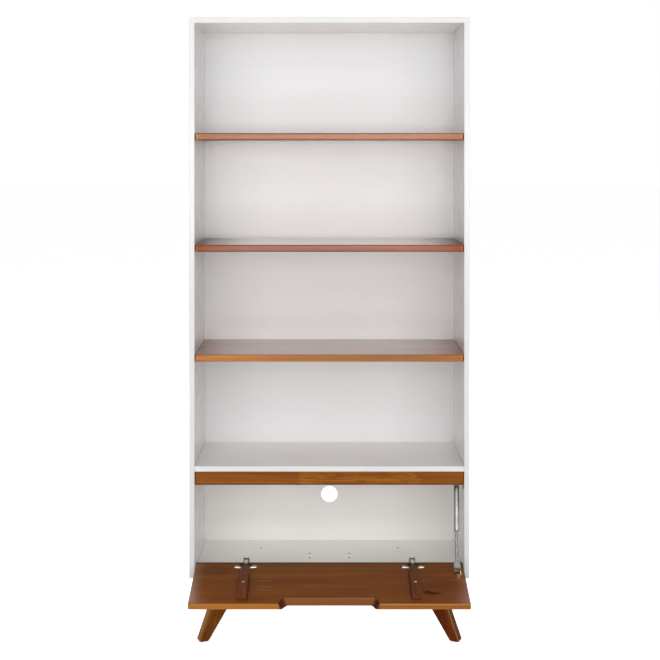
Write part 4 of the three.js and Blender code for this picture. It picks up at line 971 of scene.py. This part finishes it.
# Gas strut, along its own axis from the lower ball
BALL = Vector(joints["strut_lower_pivot"]["pos_m"])
ALONG = Vector(joints["strut_slide"]["axis"])
STRUT = seat(BALL, ALONG, (1, 0, 0))
STRUT_BLOCK = STRUT @ Matrix(((1, 0, 0, 0), (0, 0, -1, 0), (0, 1, 0, 0), (0, 0, 0, 1)))
CYLINDER_RADIUS, CYLINDER_WALL, CYLINDER_START = 0.0075, 0.0012, 0.095
ROD_RADIUS, NECK_RADIUS, STRUT_LENGTH = 0.0038, 0.0032, 0.235557
SOCKET_SHORT, SOCKET_LONG, SOCKET_SEAT, SOCKET_GAP = 0.0065, 0.013, 0.0063, 0.0003
SOCKET_WIDE, SOCKET_NARROW, SOCKET_SLOPE, SOCKET_HALF, SOCKET_EASE = 0.0085, 0.0055, 0.006, 0.0065, 0.0022
TUBE_END, TUBE_MOUTH, MOUTH_LIP, MOUTH_ROUND, TUBE_ROUND = 0.004, 0.001, 0.0008, 0.0028, 0.0014
PISTON_START, PISTON_LENGTH, PISTON_GAP, ROD_ROUND = 0.0145, 0.006, 0.0003, 0.0004
GLAND_START, GLAND_END, GLAND_GAP, GLAND_TAPER, GLAND_SHOULDER = 0.0002, 0.0085, 0.0002, 0.0011, 0.0012


def add_turned(name, profile, radius, material, body, slot, node):
    """A turned piece of the strut, with its corners rounded."""
    shape = bmesh.new()
    turned(shape, rounded(profile, radius), FINE_SIDES)
    finished(name, shape, STRUT, material, body, slot, node)


def add_socket(node, body, ball_end, strut_end):
    """A flat moulded block, narrower where the strut enters it, with its edges well rounded."""
    shoulder = strut_end - math.copysign(SOCKET_SLOPE, strut_end - ball_end)
    half = [(SOCKET_WIDE, ball_end), (SOCKET_WIDE, shoulder), (SOCKET_NARROW, strut_end)]
    outline = half + [(-x, z) for x, z in reversed(half)]
    block = bmesh.new()
    slab(block, outline, -SOCKET_HALF, SOCKET_HALF, SOCKET_EASE, 4)
    finished(f"{node}_moulded", block, STRUT_BLOCK, grey_plastic, body, "socket_plastic", node)


cylinder_end = STRUT_LENGTH - SOCKET_LONG - SOCKET_GAP
neck_end = STRUT_LENGTH - SOCKET_SEAT
inner = CYLINDER_RADIUS - CYLINDER_WALL
tube_profile = [
    (0, cylinder_end - TUBE_END), (inner, cylinder_end - TUBE_END), (inner, CYLINDER_START + TUBE_MOUTH),
    (inner - MOUTH_LIP, CYLINDER_START), (inner, CYLINDER_START),
    (CYLINDER_RADIUS, CYLINDER_START + MOUTH_ROUND), (CYLINDER_RADIUS, cylinder_end),
    (NECK_RADIUS, cylinder_end), (NECK_RADIUS, neck_end), (0, neck_end),
]
add_turned(
    "strut_cylinder_tube", tube_profile, TUBE_ROUND, strut_paint, "strut_cylinder", "strut_steel",
    "strut_cylinder",
)
piston, piston_radius = CYLINDER_START + PISTON_START, inner - PISTON_GAP
piston_end = piston + PISTON_LENGTH
rod_profile = [
    (0, SOCKET_SEAT), (ROD_RADIUS, SOCKET_SEAT), (ROD_RADIUS, piston), (piston_radius, piston),
    (piston_radius, piston_end), (0, piston_end),
]
add_turned(
    "strut_rod_polished", rod_profile, ROD_ROUND, rod_steel, "strut_rod", "rod_steel", "strut_rod"
)
gland = bmesh.new()
bore, seal_radius = ROD_RADIUS + GLAND_GAP, inner - GLAND_GAP
gland_profile = [
    (bore, GLAND_START), (inner - GLAND_TAPER, GLAND_START), (seal_radius, GLAND_SHOULDER),
    (seal_radius, GLAND_END), (bore, GLAND_END), (bore, GLAND_START),
]
turned(gland, [(radius, CYLINDER_START + height) for radius, height in gland_profile])
finished("strut_gland_seal", gland, STRUT, black_steel, "strut_cylinder", "gland_steel", "strut_gland")
add_socket("strut_lower_socket", "strut_rod", -SOCKET_SHORT, SOCKET_LONG)
add_socket("strut_upper_socket", "strut_cylinder", STRUT_LENGTH + SOCKET_SHORT, STRUT_LENGTH - SOCKET_LONG)

# Glides under the feet: a round pad with a stem up into the foot
PAD_THICKNESS, STEM_RADIUS, PAD_ROUND = 0.002, 0.002, 0.0007
for corner in ("front_left", "front_right", "rear_left", "rear_right"):
    node = f"foot_glide_{corner}"
    low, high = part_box(node)
    radius = (high.x - low.x) / 2
    section = [
        (0, 0), (radius, 0), (radius, PAD_THICKNESS), (STEM_RADIUS, PAD_THICKNESS), (STEM_RADIUS, high.z),
        (0, high.z),
    ]
    foot = bmesh.new()
    turned(foot, rounded(section, PAD_ROUND))
    middle = Vector(((low.x + high.x) / 2, (low.y + high.y) / 2, 0))
    at = Matrix.Translation(middle)
    finished(f"{node}_pad", foot, at, glide_plastic, "cabinet", "glide_plastic", node)

# Floor
FLOOR_LIGHT, FLOOR_DARK, FLOOR_GLOW, FLOOR_REACH = (0.86, 0.86, 0.86), (0.84, 0.84, 0.84), 0.8, 60
floor_paint = Paint("floor")
lift = floor_paint.node("LightPath", {}).outputs["Is Camera Ray"]
grain = floor_paint.noise(floor_paint.mapping(), 3.0, 2.0)
floor_color = floor_paint.mix(floor_paint.span(grain, *SOFT_NOISE), FLOOR_LIGHT, FLOOR_DARK)
floor_paint.shader.inputs["Emission Color"].default_value = (1, 1, 1, 1)
floor_paint.feed(floor_paint.shader.inputs["Emission Strength"], floor_paint.product(lift, FLOOR_GLOW))
floor_material = floor_paint.finish(floor_color, 0.9, specular=0.0)
floor_mesh = bpy.data.meshes.new("floor")
floor_corners = [(x * FLOOR_REACH, y * FLOOR_REACH, 0) for x, y in ((-1, -1), (1, -1), (1, 1), (-1, 1))]
floor_mesh.from_pydata(floor_corners, [], [(0, 1, 2, 3)])
floor_mesh.materials.append(floor_material)
floor = bpy.data.objects.new("floor", floor_mesh)
bpy.context.collection.objects.link(floor)
floor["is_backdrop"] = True

# World: plain light on the object, white to the camera and in reflections
PLAIN_LIGHT, PLAIN_STRENGTH = (0.98, 0.99, 1, 1), 0.23
world = bpy.data.worlds.new("world")
bpy.context.scene.world = world
world.use_nodes = True
sky = Nodes(world.node_tree)
path = sky.node("LightPath", {}).outputs
shown = sky.math("MAXIMUM", path["Is Glossy Ray"], path["Is Transmission Ray"])
seen = sky.math("MAXIMUM", path["Is Camera Ray"], shown)
plain = sky.node("Background", {"Color": PLAIN_LIGHT, "Strength": PLAIN_STRENGTH})
bright = sky.node("Background", {"Color": (1, 1, 1, 1), "Strength": 1.0})
choose = sky.node("MixShader", {0: seen, 1: plain.outputs[0], 2: bright.outputs[0]})
sky.node("OutputWorld", {0: choose.outputs[0]})


def softbox(name, place, aim, size, watts, tint=(1, 1, 1)):
    """A rectangle of light that looks at a point."""
    data = bpy.data.lights.new(name, "AREA")
    data.color = tint
    data.shape = "RECTANGLE"
    data.size, data.size_y = size
    data.energy = watts
    lamp = bpy.data.objects.new(name, data)
    lamp.location = place
    lamp.rotation_euler = (Vector(aim) - Vector(place)).to_track_quat("-Z", "Y").to_euler()
    bpy.context.collection.objects.link(lamp)


# A wall of light behind the camera, brightest at the height of the middle shelf, and one lamp beside it
WALL_DISTANCE, STRIP_SIZE, WALL_AIM = 5.2, (7.2, 0.8), (0, 0, 0.95)
STRIP_WATTS = {0.4: 13, 1.2: 101, 2.0: 53, 2.8: 19, 3.6: 34}
WARM, COOL, COOL_ABOVE = (1.0, 0.985, 0.96), (0.93, 0.965, 1.0), 1.5
for height, watts in STRIP_WATTS.items():
    tint = COOL if height > COOL_ABOVE else WARM
    softbox(f"softbox_{height}", (0, -WALL_DISTANCE, height), WALL_AIM, STRIP_SIZE, watts, tint)
softbox("softbox_right", (5.0, -2.6, 1.4), (0, 0, 0.9), (1.6, 2.4), 10)
# Two lamps that light the back, the top and the left side
softbox("softbox_back", (0, 4.4, 4.0), (0, 0, 1.0), (4.5, 2.5), 170)
softbox("softbox_left", (-5.0, 1.6, 2.0), (0, 0.2, 0.9), (2.5, 2.5), 30)

low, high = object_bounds()
